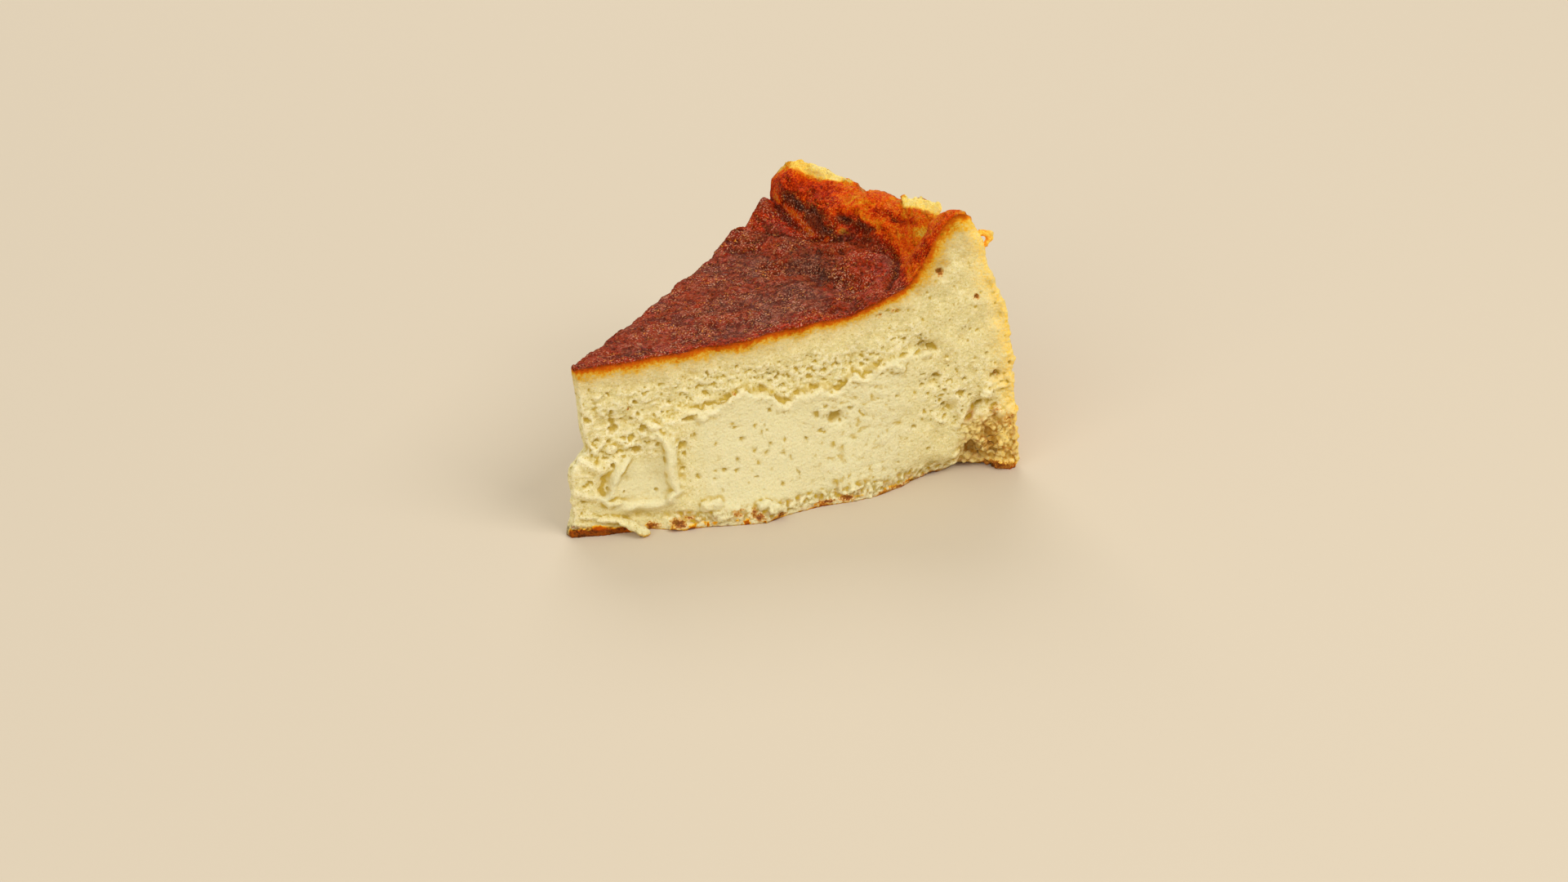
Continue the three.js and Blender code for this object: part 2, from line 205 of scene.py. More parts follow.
faces = dict(
    bulgeHeight=30, undercutHeight=9, footCurve=1.6, reach=13, tipReach=14, fromTip=(1, 9),
    sheetOut=1.3, lipOut=0.25, lipWidth=1.3, edgeWidth=1.2, sheetStart=(16, 10), sheetEnd=(72, 16),
    crumb=(0.8, 4.2), smear=(0.35, 7.5), ragged=((0.7, 3.1), (0.35, 1.3)),  # how much, how long
    tip=[
        (0, -2.9), (1.6, -2.7), (3.2, -1.9), (6, -1.2), (9, -1.1), (12.8, -1.9), (15.4, -1.7), (17.2, 0.4),
        (19.3, 2.8), (21.4, 2.4), (24, 1.6), (30.2, 1.2), (35.9, 0.3), (38.8, 0),
    ],
)


def onPlan(place):  # (radius, turn) to a plan point
    radius, turn = place
    return radius * np.cos(np.radians(turn)), radius * np.sin(np.radians(turn))


def fromCrease(points, radius, turn):
    x, y = onPlan((radius, turn))
    if len(points) == 1:
        px, py = onPlan(points[0])
        return np.hypot(x - px, y - py)
    return lineDistance([onPlan(p) for p in points], x, y)


def rimShare(radius, turn):  # how far up the rim's slope, from 0 at its foot to 1 at its crest
    return (radius - eased(top["foot"], turn)) / eased(top["slope"], turn)


def rollShare(turn):
    return rising(turn, *top["rollTurns"])


def topHeight(radius, turn):
    climb = eased(top["crest"], turn) - eased(top["plate"], top["crestRadius"])
    footRadius = eased(top["foot"], turn)
    side = radius * np.radians(turn)
    t = np.clip(rimShare(radius, turn), 0, 1)
    profile = mix(smooth(t), np.sqrt(1 - (1 - t) ** 2), top["rollShare"] * rollShare(turn))
    much, length = top["plateSwell"]
    height = eased(top["plate"], radius) + much * swell(length, radius, side, 0.3) + climb * profile
    much, length = top["rimSwell"]
    height += rising(radius, footRadius, top["fadeIn"]) * much * swell(length, radius, side, 1.3)
    height -= top["outerFall"] * np.maximum(0, (radius - top["crestRadius"]) / top["outerSpan"]) ** 2
    cracked = rising(turn, *top["crackTurns"])
    height -= top["crackDepth"] * cracked * bell(radius - footRadius, top["crackWidth"])
    pastStep = rising(radius, top["stepRadius"], top["stepWidth"])
    beforeRim = smooth((footRadius + top["stepEndsPastFoot"] - radius) / top["stepWidth"])
    height -= top["stepDrop"] * rising(turn, *top["stepTurns"]) * pastStep * beforeRim
    for points, depth, width in top["creases"]:
        height -= depth * bell(fromCrease(points, radius, turn), width)
    for place, up, width in top["swells"]:
        height += up * bell(fromCrease([place], radius, turn), width)
    return height


def wallRadius(level):
    return cake["radius"] - eased(wall["lean"], level)


def wallOut(turn, level):
    out = sum(o * bell(turn - t - drift * level, w) for t, drift, o, w in wall["folds"])
    side = cake["radius"] * np.radians(turn)
    much, length = wall["bulge"]
    return out * mix(wall["atTable"], 1, level) + much * swell(length, side, level * wall["height"], 4.3)


def tornBelow(face, d, h):  # how far below the torn lip a place on a face is
    (much, length), (muchFiner, finer) = faces["ragged"]
    ragged = much * swell(length, d, h * 0, face["layer"])
    ragged = ragged + muchFiner * swell(finer, d, h * 0, face["layer"] + 5)
    return eased(face["torn"], d) + ragged - h


def faceOut(face, d, h):
    below = tornBelow(face, d, h)
    sheet = smooth(below / faces["edgeWidth"] + 0.5)
    strength = (1 - rising(d, *faces["sheetEnd"])) * rising(d, *faces["sheetStart"])
    lip = faces["lipOut"] * bell(below - faces["lipWidth"] / 2, faces["lipWidth"])
    torn = strength * (faces["sheetOut"] * sheet + lip)
    swells = faces["crumb"], faces["smear"]
    crumb, smear = (much * swell(length, d, h, face["layer"]) for much, length in swells)
    relief = torn + mix(crumb, smear, sheet * strength)
    for (x, y), out, wide, high in face["swells"]:
        relief = relief + out * bell(d - x, wide) * bell(h - y, high)
    footOut = eased(face["foot"], d)
    share = 1 - h / np.where(footOut > 0, faces["bulgeHeight"], faces["undercutHeight"])
    relief = relief * rising(d, *faces["fromTip"])
    relief = relief + footOut * np.maximum(0, share) ** faces["footCurve"]
    if "step" in face:
        relief -= face["stepInset"] * rising(d, *face["step"]) * rising(h, *face["stepHeight"])
    return relief


def placeOnSlice(along, across, up):
    turn = cake["turn"] * across
    share = along + cake["crowding"] * np.sin(np.pi * along)
    blunt = cake["tipBlunt"]
    topRadius = blunt + share * (wallRadius(1) - blunt)
    height = up * topHeight(topRadius, turn)
    radius = blunt + share * (wallRadius(up) - blunt)
    radius += wallOut(turn, up) * (1 - smooth((wallRadius(up) - radius) / wall["reach"]))
    # the roll leans out over the crack
    t = rimShare(topRadius, turn)
    radius -= top["rollLean"] * rollShare(turn) * bell(t - 0.42, 0.3) * rising(up, 0.86, 0.14)
    angle = np.radians(turn - cake["turn"] / 2)
    x, y = radius * np.cos(angle), radius * np.sin(angle)
    x = x + eased(faces["tip"], height) * (1 - smooth(radius / faces["tipReach"]))
    for face in (front, back):
        faceAngle = face["side"] * halfTurn
        d, depth = radius * np.cos(angle - faceAngle), np.abs(radius * np.sin(angle - faceAngle))
        near = depth < faces["reach"]
        amount = np.zeros(len(radius))
        amount[near] = faceOut(face, d[near], height[near]) * (1 - smooth(depth[near] / faces["reach"]))
        x = x - face["side"] * np.sin(faceAngle) * amount
        y = y + face["side"] * np.cos(faceAngle) * amount
    return x, y, height


def onFace(face, d, h, out):  # a point in the row frame on a cut face, moved out of its plane
    a = face["side"] * halfTurn
    x = d * np.cos(a) - face["side"] * np.sin(a) * out + cake["centre"][0]
    y = d * np.sin(a) + face["side"] * np.cos(a) * out + cake["centre"][1]
    return np.column_stack([x * mm, y * mm, h * mm])


# The blank: a cube cut into a grid and bent into the wedge
bpy.ops.object.select_all(action="DESELECT")
bpy.ops.mesh.primitive_cube_add(size=1, location=(0.5, 0.5, 0.5))
piece = bpy.context.object
piece.name = "cheesecakeSlice"
bpy.ops.object.transform_apply(location=True, rotation=True, scale=True)


def mode(name):
    bpy.ops.object.mode_set(mode=name)


def choose(kind, members, chosen):  # selects edges or faces of the slice, and stays in edit mode
    mode("EDIT")
    bpy.ops.mesh.select_mode(type=kind)
    bpy.ops.mesh.select_all(action="DESELECT")
    mode("OBJECT")
    getattr(piece.data, members).foreach_set("select", chosen)
    mode("EDIT")


def cutAcross(axis, segments):  # subdivides the edges that run along one axis
    ends, co = numbers(piece.data.edges, "vertices", 2, int), numbers(piece.data.vertices, "co")
    run = np.abs(co[ends[:, 1]] - co[ends[:, 0]])
    choose("EDGE", "edges", (run[:, axis] > 1e-6) & (run.sum(1) - run[:, axis] < 1e-6))
    bpy.ops.mesh.subdivide(number_cuts=segments - 1)
    mode("OBJECT")


cutAcross(0, cake["along"] // 2)
cutAcross(0, 2)
cutAcross(1, cake["across"])
cutAcross(2, cake["up"])
boxPlaces = numbers(piece.data.vertices, "co")
x, y, z = placeOnSlice(*boxPlaces.T)
bent = np.column_stack([x + cake["centre"][0], y + cake["centre"][1], z]) * mm
setPoints(piece, bent)
print("wedge bent:", len(piece.data.vertices), "vertices")

# the blank's own sides, to tell later which side a point belongs to and how far it is from another
corners = numbers(piece.data.loops, "vertex_index", 1, int).reshape(-1, 4)
sheets = {}
for name, axis, end in (("top", 2, 1), ("base", 2, 0), ("front", 1, 0), ("back", 1, 1), ("wall", 0, 1)):
    chosen = np.all(np.abs(boxPlaces[corners][:, :, axis] - end) < 1e-6, axis=1)
    sheets[name] = BVHTree.FromPolygons((bent / mm).tolist(), corners[chosen].tolist())

# Crumbs, curd grains, torn scraps and the curl on the wall, each a shaped ball or ring
crumbs = dict(
    front=[  # (distance, height), out from the face, half-axes, lean
        ((4.2, 4.3), 0, (3, 0.9, 0.55), -0.15), ((8.2, 3.6), 0.4, (3.2, 1.1, 0.7), -0.2),
        ((11.3, 2.8), 1.2, (2.2, 1.3, 0.8), -0.4), ((13, 2.1), 2, (1.6, 1.3, 1.2), -0.6),
        ((14.6, 1.4), 2.8, (1.7, 1.2, 1.1), -0.3), ((62.6, 2.8), -0.3, (2.4, 1.2, 1.1), 0.15),
        ((100.6, 14.6), -0.6, (2.2, 1.6, 1.7), 0.6), ((101, 1.5), -0.6, (3.2, 2, 1.3), 0),
        ((29.2, 4.9), 0.3, (1.6, 1.1, 1.4), 0.1), ((31.3, 5.1), 0.3, (1.6, 1, 1.4), -0.1),
        ((41.4, 3.7), 0.3, (1.6, 1.2, 1.6), 0.2), ((43.4, 3), 0.35, (1.8, 1.2, 1.6), -0.3),
        ((45.4, 2.4), 0.3, (1.6, 1, 1), -0.4), ((48, 2.2), -0.1, (0.9, 0.8, 0.8), 0.1),
        ((50, 2.3), -0.1, (0.9, 0.8, 0.8), 0.3), ((23.6, 0.8), 0, (3.2, 1.4, 0.7), 0),
        ((80.4, 31.4), 0.5, (1.5, 0.8, 0.9), 0.2), ((73.6, 29.6), 0.2, (1.9, 0.8, 1.2), -0.4),
        ((94.9, 20), 0.4, (1.6, 1, 1.1), 0.3), ((99.6, 12), -0.2, (1.8, 1.4, 2.3), 0.1),
        ((9.6, 19.2), 0.4, (1.1, 0.8, 0.9), 0), ((13.8, 19.8), 0.3, (1.6, 0.7, 0.7), 0.4),
        ((19, 23.4), 0.2, (1.5, 0.8, 0.9), -0.3),
    ],
    back=[((36, 2), 0.1, (3.6, 1.3, 1.4), 0.2), ((70, 2.2), 0.1, (3, 1.3, 1.5), -0.2)],
    strewn=[  # how many, seed, distance, height, grain, stretch, out from the face as a share of the grain
        (60, 7, (88, 101), (1, 14.5), (0.6, 1.5), 1.3, -0.35),
        (110, 17, (19, 94), (0.3, 3.6), (0.3, 0.75), 1.6, -0.35),
        (18, 27, (0.5, 4.5), (5, 16), (0.6, 1.2), 1.2, -0.3),
        (26, 37, (4, 27), (17, 34), (0.5, 1.1), 1.5, -0.45),
        (20, 47, (84, 101), (14, 30), (0.5, 1.1), 1.3, -0.4),
        (90, 67, (92.5, 101.5), (1.4, 10), (0.4, 0.75), 1.1, 0.15),
    ],
    edgeCount=36, edgeSeed=77, edgeHeight=(6, 50), edgeGrain=(0.6, 1.3),
    lipCount=40, lipSeed=57, lipRun=(29, 72), lipGrain=(0.35, 0.75),
)
lumps = []


def addBall(fineness):
    bpy.ops.mesh.primitive_ico_sphere_add(subdivisions=fineness, radius=1, location=(0, 0, 0))
    lumps.append(bpy.context.object)
    return bpy.context.object, numbers(bpy.context.object.data.vertices, "co")


def addLump(face, d, h, out, size, lean, wobble=0.4):
    lump, co = addBall(3 if max(size) > 0.9 else 2)
    co *= (1 + wobble * rough(0.8, co[:, 0] + d, co[:, 1] + h, co[:, 2], 2))[:, None]
    c, s = np.cos(lean), np.sin(lean)
    along, outward, up = co[:, 0] * size[0], co[:, 1] * size[1], co[:, 2] * size[2]
    along, up = along * c - up * s, along * s + up * c
    out += float(faceOut(face, np.array([d]), np.array([h]))[0])
    setPoints(lump, onFace(face, d + along, h + up, out + outward))


for face, key in ((front, "front"), (back, "back")):
    for (d, h), out, size, lean in crumbs[key]:
        addLump(face, d, h, out, size, lean)
for number, seed, across, upward, sizes, stretch, above in crumbs["strewn"]:
    draw = np.random.default_rng(seed)
    for _ in range(number):
        d, h, grain = draw.uniform(*across), draw.uniform(*upward), draw.uniform(*sizes)
        size = grain * draw.uniform(0.9, stretch), grain * draw.uniform(0.7, 1), grain * draw.uniform(0.7, 1)
        addLump(front, d, h, above * grain, size, draw.uniform(-0.8, 0.8))
draw = np.random.default_rng(crumbs["edgeSeed"])
for _ in range(crumbs["edgeCount"]):  # the bumpy edge between the cut face and the wall
    h, grain = draw.uniform(*crumbs["edgeHeight"]), draw.uniform(*crumbs["edgeGrain"])
    d = float(wallRadius(np.array([h / 60]))[0]) - 0.35 * grain
    size = grain, grain, grain * draw.uniform(0.8, 1.3)
    addLump(front, d, h, -0.7 * grain, size, draw.uniform(-0.5, 0.5), 0.3)
draw = np.random.default_rng(crumbs["lipSeed"])
for _ in range(crumbs["lipCount"]):  # curds that hang at the torn edge of the smear
    d, grain = draw.uniform(*crumbs["lipRun"]), draw.uniform(*crumbs["lipGrain"])
    h = float(eased(front["torn"], d)) - draw.uniform(-0.3, 1.3)
    size = grain * draw.uniform(1, 2.4), grain * 0.8, grain
    addLump(front, d, h, -0.35 * grain, size, draw.uniform(-0.5, 0.5))

scraps = dict(  # torn scraps along the rim's crest
    wobble=0.1, taper=0.35, ragged=0.3,
    placed=[  # (radius, turn, height), half-axes
        ((87.4, 15, 57.6), (0.9, 3.4, 0.9)), ((87.8, 12.4, 58.5), (0.9, 3.4, 1)),
        ((88.1, 9.9, 59.3), (0.8, 3, 1.2)), ((88.3, 8.2, 60), (0.7, 1.5, 1.5)),
        ((86.9, 38.2, 56.5), (1.1, 3.4, 1)), ((87.2, 35.6, 56.6), (1, 3.6, 0.9)),
        ((87.4, 33, 56.2), (0.9, 3.4, 0.8)), ((87.3, 30.6, 56), (0.8, 2.8, 0.7)),
    ],
)
for (radius, turn, height), size in scraps["placed"]:
    scrap, co = addBall(3)
    co *= (1 + scraps["wobble"] * rough(0.9, co[:, 0] + turn, co[:, 1], co[:, 2], 2))[:, None]
    co[:, 0] *= 1 - scraps["taper"] * co[:, 2]
    co[:, 2] *= 1 + scraps["ragged"] * rough(0.45, co[:, 1] + turn, 0 * co[:, 1], 0 * co[:, 1], 2)
    co *= size
    angle = np.radians(turn - cake["turn"] / 2)
    out, along = radius + co[:, 0], co[:, 1]
    px = (cake["centre"][0] + out * np.cos(angle) - along * np.sin(angle)) * mm
    py = (cake["centre"][1] + out * np.sin(angle) + along * np.cos(angle)) * mm
    setPoints(scrap, np.column_stack([px, py, (height + co[:, 2]) * mm]))

# the little curl of skin that stands off the wall under the rim, with a gap behind it
curl = dict(at=(93.2, 56), out=-1.4, ring=1.6, thick=0.85, squash=0.95, lean=0.5, wobble=0.3)
bpy.ops.mesh.primitive_torus_add(
    major_radius=curl["ring"], minor_radius=curl["thick"], major_segments=28, minor_segments=10)
lumps.append(bpy.context.object)
co = numbers(lumps[-1].data.vertices, "co")
co *= (1 + curl["wobble"] * swell(1.1, co[:, 0], co[:, 1], co[:, 2]))[:, None]
along, up = co[:, 0], co[:, 1] * curl["squash"] + 0.35 * co[:, 0] * curl["lean"]
setPoints(lumps[-1], onFace(front, curl["at"][0] + along, curl["at"][1] + up, curl["out"] + co[:, 2]))

mesh = dict(voxel=0.33, thinned=dict(rest=0.105, top=0.52, front=0.76))  # the share of the faces that stays
for lump in lumps:
    lump.select_set(True)
piece.select_set(True)
bpy.context.view_layer.objects.active = piece
bpy.ops.object.join()
piece.data.remesh_voxel_size = mesh["voxel"] * mm
piece.data.use_remesh_preserve_volume = False
bpy.ops.object.voxel_remesh()
print("remeshed:", len(piece.data.vertices), "vertices")


# Where each point of the slice is
def whereabouts(co):
    x, y, z = co[:, 0] / mm - cake["centre"][0], co[:, 1] / mm - cake["centre"][1], co[:, 2] / mm
    radius, turn = np.hypot(x, y), np.degrees(np.arctan2(y, x)) + cake["turn"] / 2
    place = dict(x=x, y=y, z=z, radius=radius, turn=np.clip(turn, -6, cake["turn"] + 6))
    for name, face in (("front", front), ("back", back)):
        a = face["side"] * halfTurn
        place[name + "At"] = x * np.cos(a) + y * np.sin(a)
        place[name + "In"] = -face["side"] * (-x * np.sin(a) + y * np.cos(a))  # depth behind the face's plane
    return place


def thin(chosen, ratio):  # collapses the chosen faces to a share of their number
    choose("FACE", "polygons", chosen)
    bpy.ops.mesh.decimate(ratio=ratio)
    mode("OBJECT")


# the paper that it was baked on left the underside a little crinkled
crinkle = dict(length=3.5, deep=0.3, spread=0.35, margin=0.8, least=0.03, most=0.7)
co = numbers(piece.data.vertices, "co")
at = whereabouts(co)
inset = np.minimum.reduce([at["frontIn"], at["backIn"], wallRadius(0 * at["z"]) - at["radius"]])
inset = inset - crinkle["margin"]
bumps = crinkle["deep"] + crinkle["spread"] * rough(crinkle["length"], at["x"], at["y"], 0 * at["z"], 3)
co[:, 2] += mm * np.clip(bumps, crinkle["least"], crinkle["most"]) * smooth(inset / 2) * (at["z"] < 0.6)
setPoints(piece, co)

frontNormal = np.array([-np.sin(halfTurn), -np.cos(halfTurn), 0])
backNormal = frontNormal * (1, -1, 1)
for part, ratio in mesh["thinned"].items():
    at, facing = whereabouts(numbers(piece.data.polygons, "center")), numbers(piece.data.polygons, "normal")
    isBase = (at["z"] < 0.6) | ((at["z"] < 1.2) & (facing[:, 2] < -0.5))
    isFront = ((facing @ frontNormal > 0.35) | (at["frontIn"] < 1.5)) & ~isBase
    isTop = (facing[:, 2] > 0.2) & (at["z"] > 36) & ~isFront
    thin(dict(front=isFront, top=isTop, rest=~(isFront | isTop))[part], ratio)
mode("EDIT")
bpy.ops.mesh.select_all(action="SELECT")
bpy.ops.mesh.normals_make_consistent(inside=False)
mode("OBJECT")
print("thinned:", len(piece.data.vertices), "vertices")

# The fine relief, along the faces' normals
co = numbers(piece.data.vertices, "co")
at = whereabouts(co)
normals = numbers(piece.data.vertices, "normal")
count = len(co)
everything = np.arange(count)
d, h = at["frontAt"], at["z"]
radius, turn = at["radius"], np.clip(at["turn"], 0, cake["turn"])
surface = topHeight(radius, turn)
underTop = surface - h
level = np.clip(h / surface, 0, 1)
millimetres = co / mm
away = {}
for name, sheet in sheets.items():  # how far each point is from each side of the blank
    away[name] = np.array([sheet.find_nearest(p)[3] for p in millimetres.tolist()])


def sideMask(name, blend=0.7):  # 1 where this side is the nearest one, soft over the edge
    others = np.minimum.reduce([away[other] for other in sheets if other != name])
    return smooth(0.5 + (others - away[name]) / blend)


isFront, isBack, isTop, isWall, isBase = (sideMask(name) for name in ("front", "back", "top", "wall", "base"))
isBase = isBase * (normals[:, 2] < -0.3)
cut = np.maximum(isFront, isBack)
frontSet, backSet, topSet, wallSet, cutSet = (
    np.flatnonzero(share > 0.05) for share in (isFront, isBack, isTop, isWall, cut))


def roughAt(chosen, length, octaves=3, stretch=(1, 1, 1), shift=0.0):
    p = millimetres[chosen] / stretch + shift
    return rough(length, p[:, 0], p[:, 1], p[:, 2], octaves)


def cells(chosen, length, shift=0.0):
    p = millimetres[chosen] + shift
    return grains(length, p[:, 0], p[:, 1], p[:, 2])


def spread(chosen, values):  # values for the chosen points, 0 for the others
    whole = np.zeros(count)
    whole[chosen] = values
    return whole


def raiseTo(values, chosen, least):
    values[chosen] = np.maximum(values[chosen], least)


# single pits that the cut opened, by place
pits = dict(
    placed=[  # distance, height, wide, high, lean
        (10.4, 23.4, 2, 1.9, 0.3), (4.6, 26.4, 1.1, 1), (16.6, 23.2, 1.8, 1.6, 0.2), (12.5, 21.2, 1.1, 1),
        (14.4, 21.3, 1, 1), (6.7, 21.5, 1.1, 1), (9.2, 20.8, 0.9, 0.9), (19.6, 19.4, 1.6, 0.6, 0.7),
        (21.1, 16.1, 1.1, 1.5), (15.2, 18, 2.6, 1.3, 0.1), (24.9, 18.7, 1.9, 1.7), (25.2, 16.9, 1, 1),
        (9.5, 15.9, 1.2, 0.9, 0.2), (6.5, 16.7, 1, 0.9), (3.5, 11.7, 1.7, 0.6, 0.5), (8.3, 10.5, 1.3, 1.1),
        (18.9, 8.8, 1, 0.9), (11.6, 9.5, 0.6, 0.6), (3, 8, 1.2, 0.8), (27.2, 20.6, 1.2, 1),
        (15, 29.3, 1.3, 1), (10, 27.6, 1.1, 1), (15.6, 26.4, 1.2, 1), (14.3, 25.4, 0.9, 0.8),
        (26.5, 24.7, 3.2, 1.4, 0.1), (22.6, 28.2, 1.1, 0.9), (24.8, 13.4, 0.9, 0.8), (27.9, 11.1, 1.1, 1),
        (36.4, 21.1, 2, 0.6, 0.3), (37.7, 18.5, 1.1, 0.9), (36.6, 14.2, 0.8, 0.8), (33.7, 12.1, 1.5, 0.9),
        (36.4, 11.7, 1, 0.9), (40.7, 15.5, 0.9, 0.8), (43.2, 14.5, 0.8, 0.8), (41.7, 18.9, 0.9, 0.8),
        (44.1, 16.3, 0.9, 0.9), (41, 12.7, 0.7, 0.7), (40.8, 9.7, 0.9, 0.7), (44.3, 23.8, 1, 1),
        (57.1, 22.8, 1, 0.9), (55.1, 21.1, 0.9, 2.4), (56, 17.3, 0.9, 0.8), (52.6, 16.1, 0.9, 0.8),
        (59.4, 20, 3.7, 2.8, 0.1), (62.9, 21.5, 1.2, 1), (50.5, 8.9, 1.8, 0.6, -0.7), (46.5, 7.2, 1, 0.9),
        (83.2, 50.3, 1.7, 1.4), (91.8, 43.4, 1.1, 1), (69.4, 42.1, 1.8, 0.6, 0.3),
        (71.4, 42.8, 1.3, 0.6, 0.2), (73.8, 42.6, 1.6, 0.6, 0.1), (79.4, 36.1, 1.1, 0.9),
        (79.8, 33.7, 2.6, 1.3, 0.3), (78.4, 31.9, 1.8, 0.9, 0.2), (82.2, 32.4, 2.4, 1.4, -0.2),
        (74.9, 32, 2.4, 0.9, 0.3), (83.2, 25.6, 2, 1.6), (79.7, 24.3, 1.1, 0.9), (85.1, 22, 1.1, 1),
        (89, 20.5, 2, 1.4, 0.2), (83.9, 19.7, 1, 1), (85, 18.5, 1.3, 1.2), (80.3, 17.6, 1, 0.9),
        (73.6, 22.7, 0.9, 0.9), (93.8, 16.9, 2, 1.3), (91.1, 14.6, 2.5, 0.8, 0.7),
        (97.2, 24.1, 2.4, 1.6, 0.1), (97.2, 16.4, 1.9, 0.9, 0.6), (92.9, 5.9, 3.2, 2.6),
        (96.7, 6.7, 2.4, 0.9, 0.8), (78, 14.4, 0.9, 0.8), (85.2, 15.3, 1.4, 0.8, 0.3), (81.4, 8.3, 1.1, 0.8),
        (66, 30.8, 1.2, 0.7, 0.2), (70, 28.5, 1.2, 0.8, 0.3),
    ],
    scattered=[  # how many, distance, height, size, seed
        (60, (30, 74), (4, 26), (0.3, 0.8), 13), (60, (66, 97), (20, 56), (0.3, 0.8), 15),
    ],
    deepest=0.5, least=0.1, most=0.8, scatteredDeep=0.35,
)
# the pits are pressed in, and marked for a painted shade in them
dents, pitShading = np.zeros(count), np.zeros(count)
dFront, hFront = d[frontSet], h[frontSet]


def pressPit(x, y, wide, high, deep, lean=0):
    du, dv = dFront - x, hFront - y
    near = np.flatnonzero((np.abs(du) < max(wide, high)) & (np.abs(dv) < max(wide, high)))
    du, dv = du[near], dv[near]
    c, s = np.cos(lean), np.sin(lean)
    a, b = (du * c + dv * s) / (wide / 2), (-du * s + dv * c) / (high / 2)
    r = np.hypot(a, b) * (1 + 0.6 * swell(0.7, du + x * 3, dv + y * 3, 0.7))
    dent = rising(r, 1.2, -0.7)
    raiseTo(dents, frontSet[near], dent * deep)
    raiseTo(pitShading, frontSet[near], dent * min(1, 0.4 + 0.35 * min(wide, high)))


for x, y, wide, high, *lean in pits["placed"]:
    pressPit(x, y, wide, high, min(pits["most"], pits["deepest"] * min(wide, high) + pits["least"]), *lean)
for number, across, upward, sizes, seed in pits["scattered"]:
    draw = np.random.default_rng(seed)
    for _ in range(number):
        x, y, size = draw.uniform(*across), draw.uniform(*upward), draw.uniform(*sizes)
        wide, lean = size * draw.uniform(1, 1.3), draw.uniform(-0.5, 0.9)
        pressPit(x, y, wide, size, pits["scatteredDeep"] * size, lean)
print("pits pressed")

# how torn and open the custard is on the two cut faces
below = np.full(count, -20.0)
below[frontSet] = tornBelow(front, dFront, hFront)
below[backSet] = tornBelow(back, at["backAt"][backSet], h[backSet])
measures = dict(d=d, h=h, below=below, above=-below, under=underTop, radius=radius)
zones = dict(  # measure, start, span: a zone rises over the span from its start, or falls if that is negative
    sheet=[("below", -0.4, 1), ("d", 84, -14), ("d", 24, 7)],
    lobe=[("d", 22, -1.5), ("d", 9.5, 2), ("h", 17.5, -4), ("h", 5, 2)],
    crumb=[("under", 0.8, 1.5)],
    corner=[("d", 87.5, 5), ("h", 16, -4)],
    aboveLip=[("above", 0.4, 1.5), ("d", 18, 9), ("d", 86, -8), ("under", 3.5, 4)],
    tipOpen=[("d", 27, -5), ("h", 14, 3), ("under", 3, 5)],
    rightOpen=[("d", 70, 8), ("h", 10, 6), ("h", 35, -9)],
    tipLow=[("d", 10, -3), ("h", 2, 2), ("h", 17, -3)],
    tip=[("d", 30, -8)], burntTip=[("d", 13, -3)], roughSmear=[("d", 50, 12)], lowLip=[("d", 56, 12)],
    foot=[("d", 20, 5)], lip=[("d", 76, -8), ("d", 25, 5)], sheetGrain=[("d", 44, -6)],
    nearRim=[("radius", 76, 6)],
)


def zone(name):
    share = np.ones(count)
    for measure, start, span in zones[name]:
        share = share * rising(measures[measure], start, span)
    return share


swirl = [(19.4, 21.8), (21, 20.2), (22, 17.6), (21.8, 14.3), (22.3, 11.1), (23.1, 8.6), (21.6, 7.2)]
smearLines = [swirl, [(12.8, 16.2), (10.3, 13.8), (9.3, 11.5), (8.9, 9.2), (7.3, 8.3)],
              [(8.4, 7.1), (12.7, 5.8), (16.3, 5.6), (21.8, 7.2)]]
onSheet, roughSmear, atTip = zone("sheet"), zone("roughSmear"), zone("tip")
smeared = np.clip(np.maximum(onSheet * cut, zone("lobe") * isFront), 0, 1)
for line in smearLines:
    smeared = np.maximum(smeared, isFront * bell(lineDistance(line, d, h), 1.3))
crumbly = cut * (1 - smeared) * zone("crumb")
corner = isFront * zone("corner")
aboveLip = zone("aboveLip") * smooth((mix(11.5, 8, zone("lowLip")) + below) / 4)
openings = [aboveLip, zone("tipOpen"), zone("rightOpen"), zone("tipLow")]
openFine, openCoarse = (
    np.clip(np.maximum.reduce([share * opening for share, opening in zip(shares, openings)]), 0, 1) * onBack
    for shares, onBack in (((0.9, 0.6, 0.55, 0.4), 1 - isBack), ((0.35, 0.75, 0.5, 0.4), 1 - 0.8 * isBack)))

crumbGrain = dict(  # length, octaves, stretch, shift
    fine=(1.25, 3, (1.25, 1.25, 0.9)), coarse=(2.5, 3, (1.1, 1.1, 0.9), 31), medium=(4.2, 2, (1, 1, 1), 57),
)
out = np.zeros(count)
fine, coarse, medium = (roughAt(cutSet, *settings) for settings in crumbGrain.values())
openHere, loose, smearHere, roughHere = (mask[cutSet] for mask in (openFine, crumbly, smeared, roughSmear))
fineHole = smooth((fine - mix(0.9, 0.24, openHere)) / 0.24)
coarseHole = smooth((coarse - mix(0.95, 0.34, openCoarse[cutSet])) / 0.2)
crumbUp = smooth((-fine - 0.12) / 0.3)
curd = cells(cutSet, 1.7, 9) + 0.2 * fine
out[cutSet] += loose * (0.12 * medium + 0.12 * crumbUp * (0.4 + openHere) - 0.05 * fine)
out[cutSet] += loose * (0.2 + 0.6 * np.maximum(openFine, openCoarse)[cutSet]) * 0.16 * (0.55 - curd)
out[cutSet] += smearHere * ((0.11 + 0.1 * roughHere) * medium + (0.06 + 0.18 * roughHere) * fine)
dry = 1 - 0.85 * corner[cutSet]
holed = dry * np.clip(loose + (0.25 + 0.3 * roughHere) * smearHere, 0, 1) * (1 - 0.3 * atTip[cutSet])
raiseTo(dents, cutSet, holed * np.maximum(0.36 * fineHole, 0.7 * coarseHole))
